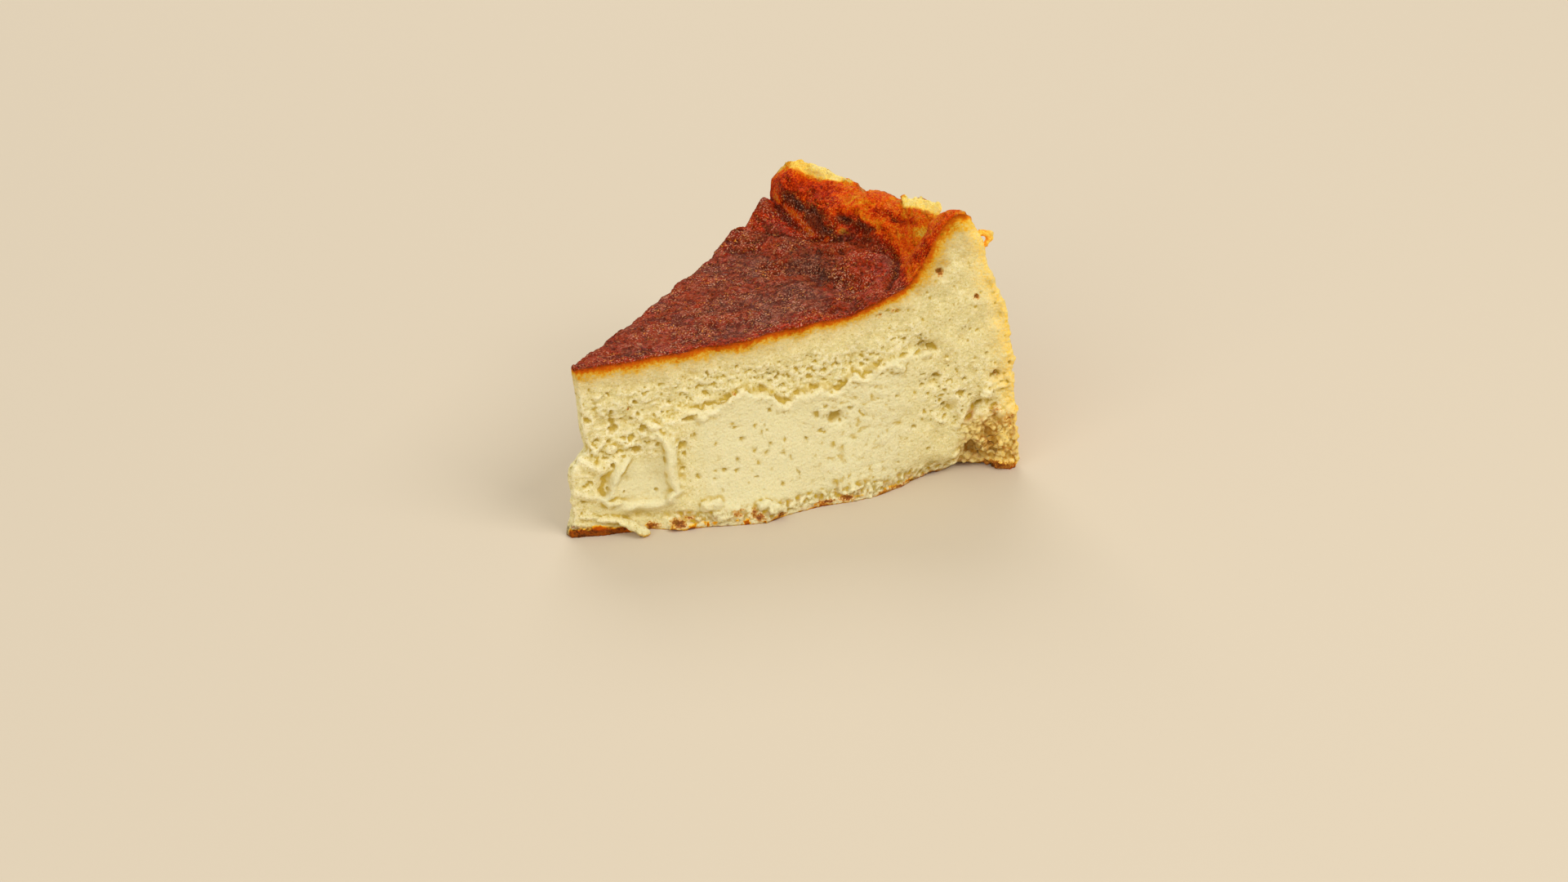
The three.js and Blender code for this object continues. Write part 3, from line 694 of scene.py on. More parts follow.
# the open holes of the crumb are marked for a painted shade too
holed = dry * loose * (1 - 0.7 * isBack[cutSet])
raiseTo(pitShading, cutSet, holed * np.maximum(0.6 * fineHole, 0.95 * coarseHole))
out[frontSet] += (onSheet * zone("sheetGrain"))[frontSet] * 0.05 * swell(0.9, dFront, hFront / 9, 6.5)

# the swirl at the tip, the lip's ragged edge and the crumbly foot
footTop = 4.6 + 1.6 * roughAt(everything, 3.5, 2, shift=67)
footZone = isFront * zone("foot") * (1 - corner) * smooth((footTop - h) / 1.6)
footSet = np.flatnonzero(footZone > 0.02)
footGrain = 0.3 * roughAt(footSet, 1.3, 3, shift=29) + 0.2 * (0.5 - cells(footSet, 1.25, 33))
out[footSet] += footZone[footSet] * footGrain
ridges = [  # a line on the front face, out, width
    (swirl, 1, 0.75),
    ([(23.6, 20), (23.9, 16), (24.2, 12)], -0.5, 1.1),
    ([(12.8, 16.2), (10.3, 13.8), (9.3, 11.5), (8.9, 9.2), (7.3, 8.3), (8.4, 7.1), (9.9, 7.5)], 1, 0.6),
    ([(9.6, 15.4), (7.6, 12.5), (7, 9.6)], -1, 0.9),
    ([(10.2, 7.2), (12.7, 5.8), (16.3, 5.6), (19.6, 5.9), (21.8, 7.2)], 0.6, 0.9),
    ([(34, 17), (33.6, 12), (33.2, 8)], 0.12, 0.5), ([(36.9, 14), (36.4, 9)], 0.1, 0.45),
    ([(26.2, 14), (27.3, 8)], 0.15, 0.8), ([(3.2, 17.2), (5.2, 15.6), (6.6, 15.2)], 0.7, 0.8),
    ([(1.5, 10), (4, 9.2), (6, 8.8)], 0.6, 0.9), ([(24, 26.4), (27, 25.4), (29.5, 24.2)], 0.6, 0.7),
]
wobbleD = dFront + 0.35 * swell(1.6, dFront, hFront, 8.1)
wobbleH = hFront + 0.35 * swell(1.6, dFront, hFront, 9.3)
for points, outBy, width in ridges:
    out[frontSet] += outBy * bell(lineDistance(points, wobbleD, wobbleH), width) * isFront[frontSet]
ragged = below[frontSet] + 0.9 * swell(1.9, dFront, hFront, 4.4) + 0.5 * swell(0.8, dFront, hFront, 4.4)
lipRun = (zone("lip") * isFront)[frontSet]
broken = smooth(0.5 + 1.6 * swell(1.7, dFront, hFront, 2.9))
out[frontSet] += lipRun * 0.3 * bell(ragged - 0.6, 1.2) * roughAt(frontSet, 1.1, 3, shift=13)
out[frontSet] -= lipRun * 0.75 * broken * bell(ragged + 0.5, 0.5)
# the trench above the torn lip is marked for a painted shade
raiseTo(pitShading, frontSet, 0.7 * lipRun * bell(ragged + 0.7, 0.55))

# the crumbled corner and the splits in it
splits = [  # a line on the front face, depth, width
    ([(94.8, 11.2), (96.4, 9), (96.2, 6.1), (97.3, 4.6)], 0.9, 0.9),
    ([(92.6, 6.2), (93.6, 4.1), (95, 3.2)], 1.3, 1.1), ([(96.4, 15.2), (97.4, 12.6)], 0.6, 0.7),
    ([(90.6, 14), (92.4, 16.4)], 0.6, 0.8),
]
cornerSet = np.flatnonzero(corner > 0.05)
warp = 0.6 * roughAt(cornerSet, 2.2, 2, shift=17)
cornerGrain = np.clip(cells(cornerSet, 1.6, warp[:, None]), 0, 1)
out[cornerSet] += corner[cornerSet] * (0.8 * (0.5 - cornerGrain) + 0.6 * roughAt(cornerSet, 3.2, 2, shift=71))
# the splits are marked for a painted shade
splitShare = np.zeros(count)
for points, deep, width in splits:
    share = bell(lineDistance(points, wobbleD, wobbleH), width) * isFront[frontSet]
    out[frontSet] -= deep * share
    raiseTo(splitShare, frontSet, share)

# the grained crust, its crevices and the burnt line
crevices = [  # a line on top by (radius, turn, height), depth, width, how dark its painted shade is
    ([(67.6, 23.5, 44.1), (67.3, 21, 42.9), (66.9, 15.8, 43.8), (67.4, 13.1, 44),
     (69, 9.8, 44.2)], 0.9, 0.7, 1),
    ([(66.8, 21.3, 42.7), (66.6, 18.9, 42.7), (66.4, 16.3, 43.3)], 0.6, 0.6, 1),
    ([(74.3, 21.5, 46.2), (74.4, 20.3, 45.9), (72.8, 17.6, 46.7)], 0.7, 0.6, 1),
    ([(78.2, 22.7, 47.8), (79.4, 20.7, 49.6), (80.2, 18.9, 50.4), (81.2, 17.3, 51.5)], 1.2, 0.8, 1),
    ([(76.5, 22.8, 46.2), (78.2, 23.6, 47), (79.2, 20.5, 48.3), (80.5, 16.4, 49.1), (81, 12.5, 48.1),
     (79, 8.5, 48), (76.2, 5.6, 47.8), (72.3, 2.4, 46.3)], 0.9, 0.7, 0.8),
    ([(83.3, 15.8, 53.3), (84.7, 14.2, 54.2), (85.1, 11.6, 55)], 0.9, 0.7, 1),
    ([(80.5, 0.1, 54.8), (81.6, -0.3, 53.9)], 0.8, 0.8, 1),
    ([(60, 31, 43), (63, 27, 43.6), (62.5, 24, 43.4)], 0.4, 0.8, 0.4),
    ([(86.9, 0.9, 63.1), (85.1, 0.8, 62), (83.3, 1.2, 59.9), (81.7, 1.6, 57.1),
     (80.5, 1.8, 55.6)], -0.6, 1, 0),
    ([(50, 17, 41.5), (55, 15, 42), (57, 10, 42.3)], 0.3, 0.9, 0.3),
    ([(64.3, 41, 43), (64.4, 36.4, 42.8), (63.7, 30.6, 43.6), (65.4, 26.5, 43.7)], 0.45, 1.7, 0.35),
    ([(81.5, 34, 54.6), (80.6, 29, 54.4)], 0.5, 0.9, 0.4),
    ([(82, 22, 54.4), (81, 25.5, 54.2)], 0.5, 0.8, 0.3), ([(71, 34, 45.4), (74, 38, 46)], 0.4, 0.7, 0.3),
    ([(70.1, 43, 45.6), (71.5, 37.8, 45.5), (73, 35.2, 45.6), (73.7, 32.8, 45.8), (75.1, 30, 45.7),
     (75.7, 27.9, 45.2)], 0.8, 0.8, 0.6),
]
burntLine = [
    (81.4, 39, 51.6), (80, 35.9, 51), (79.4, 34, 50.7), (78.5, 32.2, 49.6), (77.6, 29.9, 48.8),
    (77.1, 27.6, 48.2), (76.8, 26.1, 47.7),
]


def inSpace(place):  # (radius, turn, height) to a point in the round
    return (*onPlan(place[:2]), place[2])


onRim = smooth((rimShare(radius, turn) + 0.05) / 0.25)
rimHere = onRim[topSet]
topGrain, topRough = cells(topSet, 1.35), roughAt(topSet, 2.2, 4)
wrinkle = roughAt(topSet, 3.4, 4, (1, 1, 0.7), 23)
crust = mix(0.32, 0.14, rimHere) * (0.6 - topGrain) + 0.18 * topRough
crust += mix(0.3, 0.1, rimHere) * roughAt(topSet, 1.5, 2, shift=91) + 0.4 * roughAt(topSet, 5.5, 2, shift=61)
crust += rimHere * 0.3 * wrinkle - mix(0.25, 0.9, rimHere) * bell(wrinkle, 0.16) * smooth(0.5 + topRough)
out[topSet] += isTop[topSet] * crust
topPlace = np.column_stack([*onPlan((radius[topSet], turn[topSet])), h[topSet]])
for axis in range(3):
    topPlace[:, axis] += 0.45 * swell(1.7, radius[topSet], h[topSet] + turn[topSet] * 1.4, 2.2 + 3 * axis)


def topShare(points, width):  # how near the crust is to a line on it
    return bell(spaceDistance([inSpace(p) for p in points], *topPlace.T), width)


creaseShade = np.zeros(count)
for points, depth, width, dark in crevices:
    share = topShare(points, width) * isTop[topSet]
    out[topSet] -= depth * share
    raiseTo(creaseShade, topSet, share * dark)
out[topSet] += topShare(burntLine, 1.9) * isTop[topSet] * (0.9 * (0.45 - cells(topSet, 1.3, 3)) + 0.2)

# the creased wall
wallGrain = cells(wallSet, 2.3, 0.5 * roughAt(wallSet, 3, 2, shift=5)[:, None])
out[wallSet] += isWall[wallSet] * (0.28 * roughAt(wallSet, 4, 3, (1, 1, 2)) + 0.6 * (0.45 - wallGrain))

inward = np.where(isFront[:, None] > 0.3, frontNormal, np.where(isBack[:, None] > 0.3, backNormal, normals))
moved = co + normals * (out * mm)[:, None] - inward * (dents * cut * mm)[:, None]
low, high = (np.array(end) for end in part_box("cheesecake_slice"))
moved = np.clip(moved, low + 0.02 * mm, high - 0.02 * mm)
moved[(h < 0.35) & (normals[:, 2] < -0.3), 2] = low[2]
setPoints(piece, moved)
bpy.ops.object.select_all(action="DESELECT")
piece.select_set(True)
bpy.context.view_layer.objects.active = piece
bpy.ops.object.shade_smooth()

# how far each point lies under its smoothed surroundings, for the painted shade in hollows and the painted
# highlights on raised points
ends = numbers(piece.data.edges, "vertices", 2, int)
endA, endB = ends.T
degree = np.bincount(ends.ravel(), minlength=count)
soft = moved / mm
for _ in range(6):
    sums = [np.bincount(endA, c[endB], count) + np.bincount(endB, c[endA], count) for c in soft.T]
    soft = np.column_stack(sums) / degree[:, None]
hollow = ((soft - moved / mm) * numbers(piece.data.vertices, "normal")).sum(1) * (1 - 0.8 * isBack)
print("relief set:", sum(len(p.vertices) - 2 for p in piece.data.polygons), "triangles")

# What the material reads: how baked each point is, how deep in a pit (for a painted shade there), how smeared
bake = dict(
    custard=0.04, wall=0.16, wallCrest=0.14, base=0.5, plate=0.79, rim=0.44, rimBack=0.13,
    cloud=7, patch=2.4, speck=0.9,  # how long the unevenness of the browning is
    skin=[  # depth under the crust, how baked
        (-1, 0.78), (0.35, 0.66), (0.8, 0.46), (1.3, 0.35), (1.9, 0.25), (2.7, 0.16), (3.8, 0.1),
        (5.2, 0.075), (8, 0.05), (11, 0),
    ],
    rimSkin=[(-1, 0.55), (0.4, 0.43), (1.2, 0.29), (2.4, 0.18), (4, 0.11), (6, 0.05), (8, 0)],
    wallSkin=[(-1, 0.14), (1, 0.135), (2.6, 0.11), (5, 0.075), (8, 0.04), (11, 0)],
    baseSkin=[(-1, 0.82), (0.6, 0.76), (1.2, 0.58), (1.9, 0.25), (2.6, 0)],
    foot=[  # (distance, height) on the front, how brown, wide, high
        ((36, 2.8), 0.34, 1.3, 0.8), ((39, 2.6), 0.42, 0.9, 1), ((40.3, 1.4), 0.66, 1.1, 0.9),
        ((45.4, 1.1), 0.5, 1, 0.6), ((61.3, 1.3), 0.62, 1.6, 0.7), ((56.4, 1.1), 0.6, 1.8, 0.4),
        ((22.6, 1.6), 0.62, 1.4, 0.7), ((25.4, 2.4), 0.4, 1.8, 0.35), ((17.6, 0.9), 0.5, 1.2, 0.8),
        ((73, 0.5), 0.4, 4, 0.5), ((83, 0.4), 0.45, 3, 0.5), ((96.3, 6.9), 0.4, 0.9, 1),
        ((97.5, 16), 0.22, 1.4, 0.8), ((100.4, 12.6), 0.2, 1.9, 2.6), ((98.6, 1.2), 0.5, 3.2, 0.9),
    ],
    holes=[  # (distance, height) of the browned holes, how brown, wide
        ((83.4, 50.1), 1, 0.75), ((91.9, 43.4), 1, 0.6), ((69.6, 42), 0.7, 0.5), ((72.5, 42.8), 0.55, 0.5),
        ((73.6, 42.7), 0.5, 0.5), ((97.4, 23.8), 0.5, 0.7), ((36.6, 28.8), 0.9, 0.3),
        ((13.6, 27.8), 0.9, 0.3),
    ],
    paint=[  # lines on top by (radius, turn, height): how baked, width, strength
        ([(8, 21, 39), (20, 21, 39)], 0.75, 9, 0.7),
        ([(10, 0, 39), (25, 0, 39.5), (50, 0, 41.6), (70, 0, 45)], 0.69, 2.4, 0.8),
        ([(30, 43, 40), (50, 43, 41.6), (69, 43, 45)], 0.74, 2.6, 0.7),
        ([(72, 6, 46), (76, 14, 48)], 0.71, 5, 0.8),
        ([(74, 40.5, 46.5), (76, 37, 46.5), (76, 33, 46)], 0.65, 2.8, 0.9),
        ([(62, 24, 43.5), (66, 16, 44), (70, 22, 45)], 0.84, 4, 0.6),
        ([(44, 20, 41.5), (52, 24, 42)], 0.82, 8, 0.5),
        ([(81, 12.5, 48.5), (80.5, 16.4, 49.3), (79.2, 20.5, 48.3)], 0.72, 1.4, 0.8),
        ([(82, 40, 53.5), (81.7, 36, 54), (80.5, 31, 53.8), (79.8, 27, 53.6)], 0.64, 2, 0.8),
        ([(86.6, 43, 54), (87.4, 40, 56.2), (87.4, 37, 57.4)], 0.19, 2, 1),
        ([(88.6, 36, 56.4), (88.2, 33.6, 56.6), (88, 29.6, 56.2)], 0.11, 1.8, 1),
        ([(88.6, 15.5, 58), (88.6, 12, 59.2), (88.8, 8, 59.8)], 0.12, 1.8, 1),
        ([(82.2, 42.4, 52), (84.5, 42.4, 54.5)], 0.4, 1.2, 0.7),
        ([(90, 26, 55.4), (90.4, 18, 56)], 0.36, 1.8, 0.6),
        ([(85.8, 38, 55.6), (86, 32, 55.6), (86.4, 27, 55.4), (87, 22, 55.6),
         (87.2, 17, 56.4)], 0.4, 1.4, 0.6),
        ([(90, 9, 59), (90.5, 3, 61)], 0.24, 2, 0.9),
        ([(88.8, -0.4, 62.6), (86.3, -0.4, 59.5), (84, -0.4, 56.5), (81, -0.4, 53.2)], 0.26, 1.5, 0.9),
        ([(86.9, 2, 63.1), (85.1, 2, 62), (83.3, 2, 59.9)], 0.44, 2, 0.8),
        ([(82, 6, 51.6), (82.6, 10, 52.6), (82, 13, 52.4)], 0.47, 2.4, 0.9),
        ([(82.7, 19.1, 54.5), (83.9, 16.3, 54.8)], 0.58, 1.5, 0.8),
        ([(83.3, 15.9, 53.7), (84.2, 14.7, 54), (84.8, 12.8, 54.4)], 0.68, 0.8, 0.9),
        ([(84.6, 11.4, 55.5), (84.6, 9.8, 55.3)], 0.6, 1.1, 0.8),
        ([(84.5, 9.6, 53.9), (84.9, 8.2, 54.3)], 0.24, 1.5, 1),
        ([(80.9, 2.3, 56), (80.9, 0.2, 56.6), (81.9, 0, 56.4)], 0.66, 1.3, 0.9),
        ([(78.9, 3.3, 53), (79.6, 1.2, 53.7), (80.7, 0.2, 54.9), (81.5, 0, 55)], 0.63, 1.3, 0.9),
        ([(84.7, 0.9, 62.4), (83.7, 0.9, 60.8), (82.7, 0.9, 58.8), (82.2, 0.6, 57.1)], 0.55, 1.2, 0.8),
        ([(67, 23.4, 43.7), (67.1, 21.1, 43.2), (65.8, 17.2, 43.6)], 0.9, 3, 0.8),
        ([(60.2, 18.4, 43.6), (58.4, 12.7, 43.3)], 0.86, 3, 0.7),
        ([(72.9, 16.5, 48), (71.8, 9.9, 47.5), (71.4, 4.4, 46.4)], 0.7, 3.6, 0.7),
        ([(82.1, 40.2, 50.1), (81.3, 38.6, 50.1), (80, 36.4, 49.5), (78.9, 34.2, 48.6), (78, 31.9, 47.7),
         (77.1, 29.3, 46.6)], 0.38, 1.5, 1),
        (burntLine, 0.98, 1.25, 1),
        ([(78.2, 30.6, 51), (77.6, 28.2, 50.2)], 0.96, 1.3, 0.85),
        ([(78.3, 24.4, 51.5), (79.1, 22.4, 51.6)], 0.96, 0.9, 0.9),
        ([(79.7, 20.7, 51.3), (80.8, 18.2, 51)], 0.95, 0.9, 0.9), ([(78.6, 32.4, 48.9)], 0.4, 0.8, 0.8),
        ([(78.3, 23.4, 48.6), (79.6, 22.2, 47.8), (80, 20.8, 48.6)], 0.24, 1.1, 1),
        ([(76.6, 26, 46.3)], 0.44, 0.9, 0.9),
    ],
    tints=[  # patches of the plate by (radius, turn, height): 0 russet to 1 mauve, which is partly a painted sheen, width
        ([(22, 25, 39.5), (34, 30, 40.2), (46, 34, 41)], 0.05, 6), ([(60, 12, 43.5), (66, 8, 44)], 1, 4),
        ([(72, 16, 47.5), (71.5, 5, 46.5)], 0.15, 4), ([(40, 8, 41), (52, 6, 42)], 0.85, 4),
        ([(56, 30, 42.5), (62, 34, 43)], 0.7, 5),
    ],
    flap=[  # the pale flap at the tip, by (distance, depth behind the face, height)
        (4.4, -0.9, 4.3), (8.4, -2.1, 3.7), (11.4, -3.4, 2.9), (13.2, -4.6, 2.1), (14.8, -5.4, 1.3),
    ],
)
cloud, patch = roughAt(everything, bake["cloud"]), roughAt(everything, bake["patch"], shift=40)
speck = roughAt(everything, bake["speck"], 2, shift=80)
plate = bake["plate"] + 0.06 * cloud + 0.07 * patch + 0.05 * speck
rim = bake["rim"] + bake["rimBack"] * rising(turn, 20, 14) + 0.09 * cloud + 0.07 * patch + 0.04 * speck
painted = mix(plate, rim, onRim)
patchHere = 1 + 0.4 * patch[topSet]
for points, value, width, strength in bake["paint"]:
    share = strength * np.minimum(1, 1.3 * topShare(points, width * patchHere))
    painted[topSet] = mix(painted[topSet], value + 0.05 * speck[topSet], share)
# the crust is darkened along the crevices, a painted shade
painted += 0.1 * creaseShade

towardsRim = zone("nearRim")
skinDepth = away["top"] * mix(1.2, 1.45, rising(d, 42, 25)) * mix(1, 0.62, towardsRim)
skinDepth = skinDepth * (1 + 0.45 * patch) + 0.5 * speck
inside = mix(eased(bake["skin"], skinDepth), eased(bake["rimSkin"], skinDepth), towardsRim)
inside = np.maximum(inside, eased(bake["wallSkin"], away["wall"] * (1 + 0.4 * patch)))
footSkin = isFront * np.clip(rising(d, 14, -3) + rising(d, 94, 4) + 0.7 * rising(patch, 0.05, 0.2), 0, 1)
footHeight = h * (1 + 0.4 * patch) * mix(1.8, 1, np.clip(footSkin, 0, 1))
inside = np.maximum(inside, footSkin * eased(bake["baseSkin"], footHeight))
wallBake = bake["wall"] + 0.1 * cloud + 0.08 * patch
wallBake += bake["wallCrest"] * smooth((level - 0.6 + 0.5 * cloud) / 0.4)
wallBake += 0.1 * smooth((np.minimum(turn, cake["turn"] - turn) - 1 + 2.5 * cloud) / 9)
flap = smooth((2 - spaceDistance(bake["flap"], d, at["frontIn"], h)) / 0.7) * (h > 0.05)
baked = np.maximum(bake["custard"], inside) + 0.012 * patch
baked = mix(baked, wallBake, np.clip(isWall, 0, 1))
baked = mix(baked, painted, isTop)
baked = mix(baked, bake["base"] + 0.12 * cloud + 0.07 * patch, isBase)
baked = mix(baked, bake["custard"], flap * isFront)

# the torn scraps and the curl, which the light shines through, given a painted glow
glow = np.zeros(count)
planX, planY = onPlan((at["radius"], at["turn"]))
for line, shine in ((scraps["placed"][:4], 1), (scraps["placed"][4:], 0.65)):
    gap = spaceDistance([inSpace(spot) for spot, size in line], planX, planY, h)
    near = rising(gap, 2.2, -1.1) * (underTop < 3)
    baked = mix(baked, mix(0.13, 0.2, rising(turn, 33, 5)) + 0.03 * patch, near)
    glow = np.maximum(glow, near * shine)
curlGap = spaceDistance([(curl["at"][0], -curl["out"], curl["at"][1])], d, at["frontIn"], h)
onCurl = rising(curlGap, 2.8, -0.6) * (1 - isFront)
baked = mix(baked, 0.22 + 0.06 * patch, onCurl)
glow = np.maximum(glow, 0.15 * onCurl)

cornerHere, cornerPatch = corner[cornerSet], patch[cornerSet]
bakedHere = np.clip(baked[cornerSet] + 0.05, 0.08, 0.115)
baked[cornerSet] = mix(baked[cornerSet], bakedHere, cornerHere * rising(h[cornerSet], 1.6, 0.8))
baked[wallSet] += isWall[wallSet] * 0.08 * rising(wallGrain, 0.6, 0.4)
spots = np.zeros(count)
for (x, y), value, wide, tall in bake["foot"]:
    brown = min(1, 1.6 * value) * bell(d - x + patch, wide) * bell(h - y, 1.1 * tall)
    spots = np.maximum(spots, brown * isFront)
for (x, y), value, wide in bake["holes"]:
    spots = np.maximum(spots, value * bell(np.hypot(d - x, h - y), wide) * isFront)
betweenGrains = smooth((cornerGrain - 0.64 + 0.45 * cornerPatch) / 0.3)
# browning near the base, and a painted shade between the corner's grains, in hollows, in the splits and
# between the foot's beads
toastedAndShaded = np.maximum.reduce([
    spread(cornerSet, cornerHere * betweenGrains * (1 - 0.4 * isWall[cornerSet])),
    0.8 * corner * rising(hollow, 0.08, 0.12), splitShare,
    0.7 * footZone * np.clip(0.2 + 1.2 * np.clip(hollow / 0.2, -0.4, 1) + patch, 0, 1),
    rising(h, 1.6, -1) * np.clip(0.45 + 1.2 * patch, 0, 1) * (1 - isBase),
]) * (1 - flap)
burntTip = zone("burntTip")
charHeight = mix(0.6, 2.6, burntTip) + 1.2 * patch
char = np.clip(0.3 + 1.5 * speck + 0.7 * burntTip, 0, 1) * smooth((charHeight - h) / 0.6) * (1 - flap)
tone = np.clip(0.5 + 0.9 * cloud, 0, 1)
for points, value, width in bake["tints"]:
    share = 0.8 * topShare(points, width * patchHere) * isTop[topSet]
    tone[topSet] = mix(tone[topSet], np.clip(value + 0.3 * patch[topSet], 0, 1), share)
tone = tone * mix(0.15, 1, smooth(away["front"] / 4 + 0.6 * patch))
attributes = dict(
    baked=np.clip(baked, 0, 1), pitShade=pitShading, smeared=smeared, crumbly=crumbly, crust=isTop, tone=tone,
    plate=isTop * (1 - 0.8 * onRim) * mix(0.4, 1, smooth(away["front"] / 3.5)), rim=isTop * onRim,
    # lip: a painted highlight along the torn edge of the smear
    lip=spread(frontSet, lipRun * bell(ragged - 0.7, 1.1)), hollow=np.clip(0.5 + hollow / 0.4, 0, 1),
    toastedAndShaded=toastedAndShaded, char=char, foot=footZone, far=isBack * crumbly, wall=isWall * (1 - onCurl), glow=glow,
    open=crumbly * np.maximum(openFine, openCoarse) * (1 - corner), spots=spots, corner=corner, under=isBase,
    band=cut * rising(skinDepth, 9, -3) * (1 - rising(away["wall"], 4, -3)),
)
for name, values in attributes.items():
    piece.data.attributes.new(name, "FLOAT", "POINT").data.foreach_set("value", values.astype(np.float32))
print("masks written")


# The material
def rgb(r, g, b):  # an sRGB colour from 0 to 255, as Blender's linear one
    shares = (r / 255, g / 255, b / 255)
    linear = [c / 12.92 if c <= 0.04045 else ((c + 0.055) / 1.055) ** 2.4 for c in shares]
    return (*linear, 1)


material = bpy.data.materials.new("bakedCustard")
material.use_nodes = True
tree = material.node_tree
shader = tree.nodes["Principled BSDF"]


def join(value, socket):  # a number or colour is set, an output is linked
    if isinstance(value, (int, float, tuple)):
        socket.default_value = value
    else:
        tree.links.new(value, socket)


def node(kind, inputs, **settings):
    made = tree.nodes.new(kind)
    for key, value in settings.items():
        setattr(made, key, value)
    for key, value in inputs.items():
        join(value, made.inputs[key])
    return made


def mask(name):
    return node("ShaderNodeAttribute", {}, attribute_name=name).outputs["Fac"]


def noiseAt(scale, detail=3, roughness=0.5):  # scale in swells for each metre, on Object coordinates
    where = node("ShaderNodeTexCoord", {}).outputs["Object"]
    settings = {"Vector": where, "Scale": scale, "Detail": detail, "Roughness": roughness}
    return node("ShaderNodeTexNoise", settings).outputs["Fac"]


def math(operation, a, b, clamp=False):
    return node("ShaderNodeMath", {0: a, 1: b}, operation=operation, use_clamp=clamp).outputs[0]


def product(first, *others):
    for value in others:
        first = math("MULTIPLY", first, value)
    return first


def remap(value, low, high, outLow=0, outHigh=1):
    return node("ShaderNodeMapRange", {0: value, 1: low, 2: high, 3: outLow, 4: outHigh}).outputs[0]


def ramp(value, stops):
    made = node("ShaderNodeValToRGB", {0: value})
    elements = made.color_ramp.elements
    elements[0].position, elements[0].color = stops[0][0], rgb(*stops[0][1])
    elements[1].position, elements[1].color = stops[-1][0], rgb(*stops[-1][1])
    for position, colour in stops[1:-1]:
        elements.new(position).color = rgb(*colour)
    return made.outputs[0]


def blend(factor, a, b, kind="MIX"):
    return node("ShaderNodeMix", {0: factor, 6: a, 7: b}, data_type="RGBA", blend_type=kind).outputs[2]


look = dict(
    stops=[  # how baked, its colour
        (0, (222, 210, 154)), (0.08, (235, 216, 150)), (0.18, (255, 208, 76)), (0.28, (246, 166, 26)),
        (0.38, (240, 122, 4)), (0.48, (240, 82, 0)), (0.6, (202, 44, 0)), (0.7, (152, 34, 0)),
        (0.8, (138, 50, 14)), (0.88, (98, 36, 14)), (1, (50, 32, 24)),
    ],
    colours=dict(
        # pit: a painted shade, laid in pits, pores and hollows
        cool=(208, 203, 152), pitShade=(192, 156, 14), lip=(244, 232, 184), pale=(246, 234, 186),
        # curd: a pale curd colour, also laid on raised points as a painted highlight
        curd=(248, 238, 200), beadHighlight=(240, 228, 178), murk=(184, 164, 92), dark=(190, 172, 96),
        # toast: brown, for the browned foot and for a painted shade in crevices
        smear=(237, 233, 199), mustard=(226, 180, 40), toastAndShade=(168, 98, 0), gold=(224, 168, 72),
        spot=(158, 78, 22), char=(66, 34, 16), charPale=(146, 76, 22), skin=(166, 84, 8),
        bandShade=(218, 210, 210), wallPale=(234, 204, 128), wallTan=(204, 140, 68), under=(150, 96, 50),
        # mauve: partly a painted sheen on the plate
        mauveSheen=(134, 78, 60), russet=(176, 62, 20), bloomHighlight=(172, 96, 54), tan=(200, 136, 90),
        # glint and spark: painted glints, pale and orange
        scorchAndShade=(66, 20, 8), ember=(96, 6, 0), glint=(230, 168, 134), orangeGlint=(255, 160, 50),
        # glow: a painted glow, laid as emission
        glow=(150, 138, 70),
    ),
    surface={
        "Emission Strength": 1, "Specular IOR Level": 0.03, "Coat Roughness": 0.26, "Subsurface Weight": 0.22,
        "Subsurface Radius": (0.0010, 0.0008, 0.0005), "Subsurface Scale": 1,
    },
    bumpDistance=0.0002, bumpStrength=0.9, crustBump=5, dotBump=3.5, poreBump=1.6,
)
tint = {name: rgb(*colour) for name, colour in look["colours"].items()}


def laid(colour, over, *strengths):  # a named colour or an output laid over another, as strong as the product
    return blend(product(*strengths), colour, tint[over] if isinstance(over, str) else over)


bakedMask, pitShadeMask, crustMask, plateMask, smearMask, crumbMask = (
    mask(name) for name in ("baked", "pitShade", "crust", "plate", "smeared", "crumbly"))
toneMask, hollowMask, rimMask, footMask, wallMask, cornerMask, spotMask = (
    mask(name) for name in ("tone", "hollow", "rim", "foot", "wall", "corner", "spots"))
dotNoise, fineNoise, midNoise = noiseAt(2600, 1), noiseAt(2100, 2), noiseAt(900)
grainNoise, clusterNoise = noiseAt(800, 5, 0.72), noiseAt(170, 2)
onCut = math("ADD", crumbMask, smearMask, True)
offCrust = math("SUBTRACT", 1, crustMask)
notBaked = remap(bakedMask, 0.05, 0.16, 1, 0)
bare = product(notBaked, onCut)
crumb = product(crumbMask, bare)
dotted = product(bare, remap(smearMask, 0, 1, 1, 0.4))

# the browning, with uneven edges
isSkin = remap(bakedMask, 0.08, 0.24, 0.25, 1)
uneven = math("ADD", remap(midNoise, 0.3, 0.7, -0.05, 0.05), remap(fineNoise, 0.3, 0.7, -0.08, 0.08))
shift = product(isSkin, uneven, remap(wallMask, 0, 1, 1, 0.5))
onCrust, byGrain = remap(bakedMask, 0.2, 0.45, 0.15, 1), remap(grainNoise, 0.3, 0.7, 0.11, -0.11)
crustShift = product(crustMask, onCrust, byGrain)
colour = ramp(math("ADD", bakedMask, math("ADD", shift, crustShift), True), look["stops"])

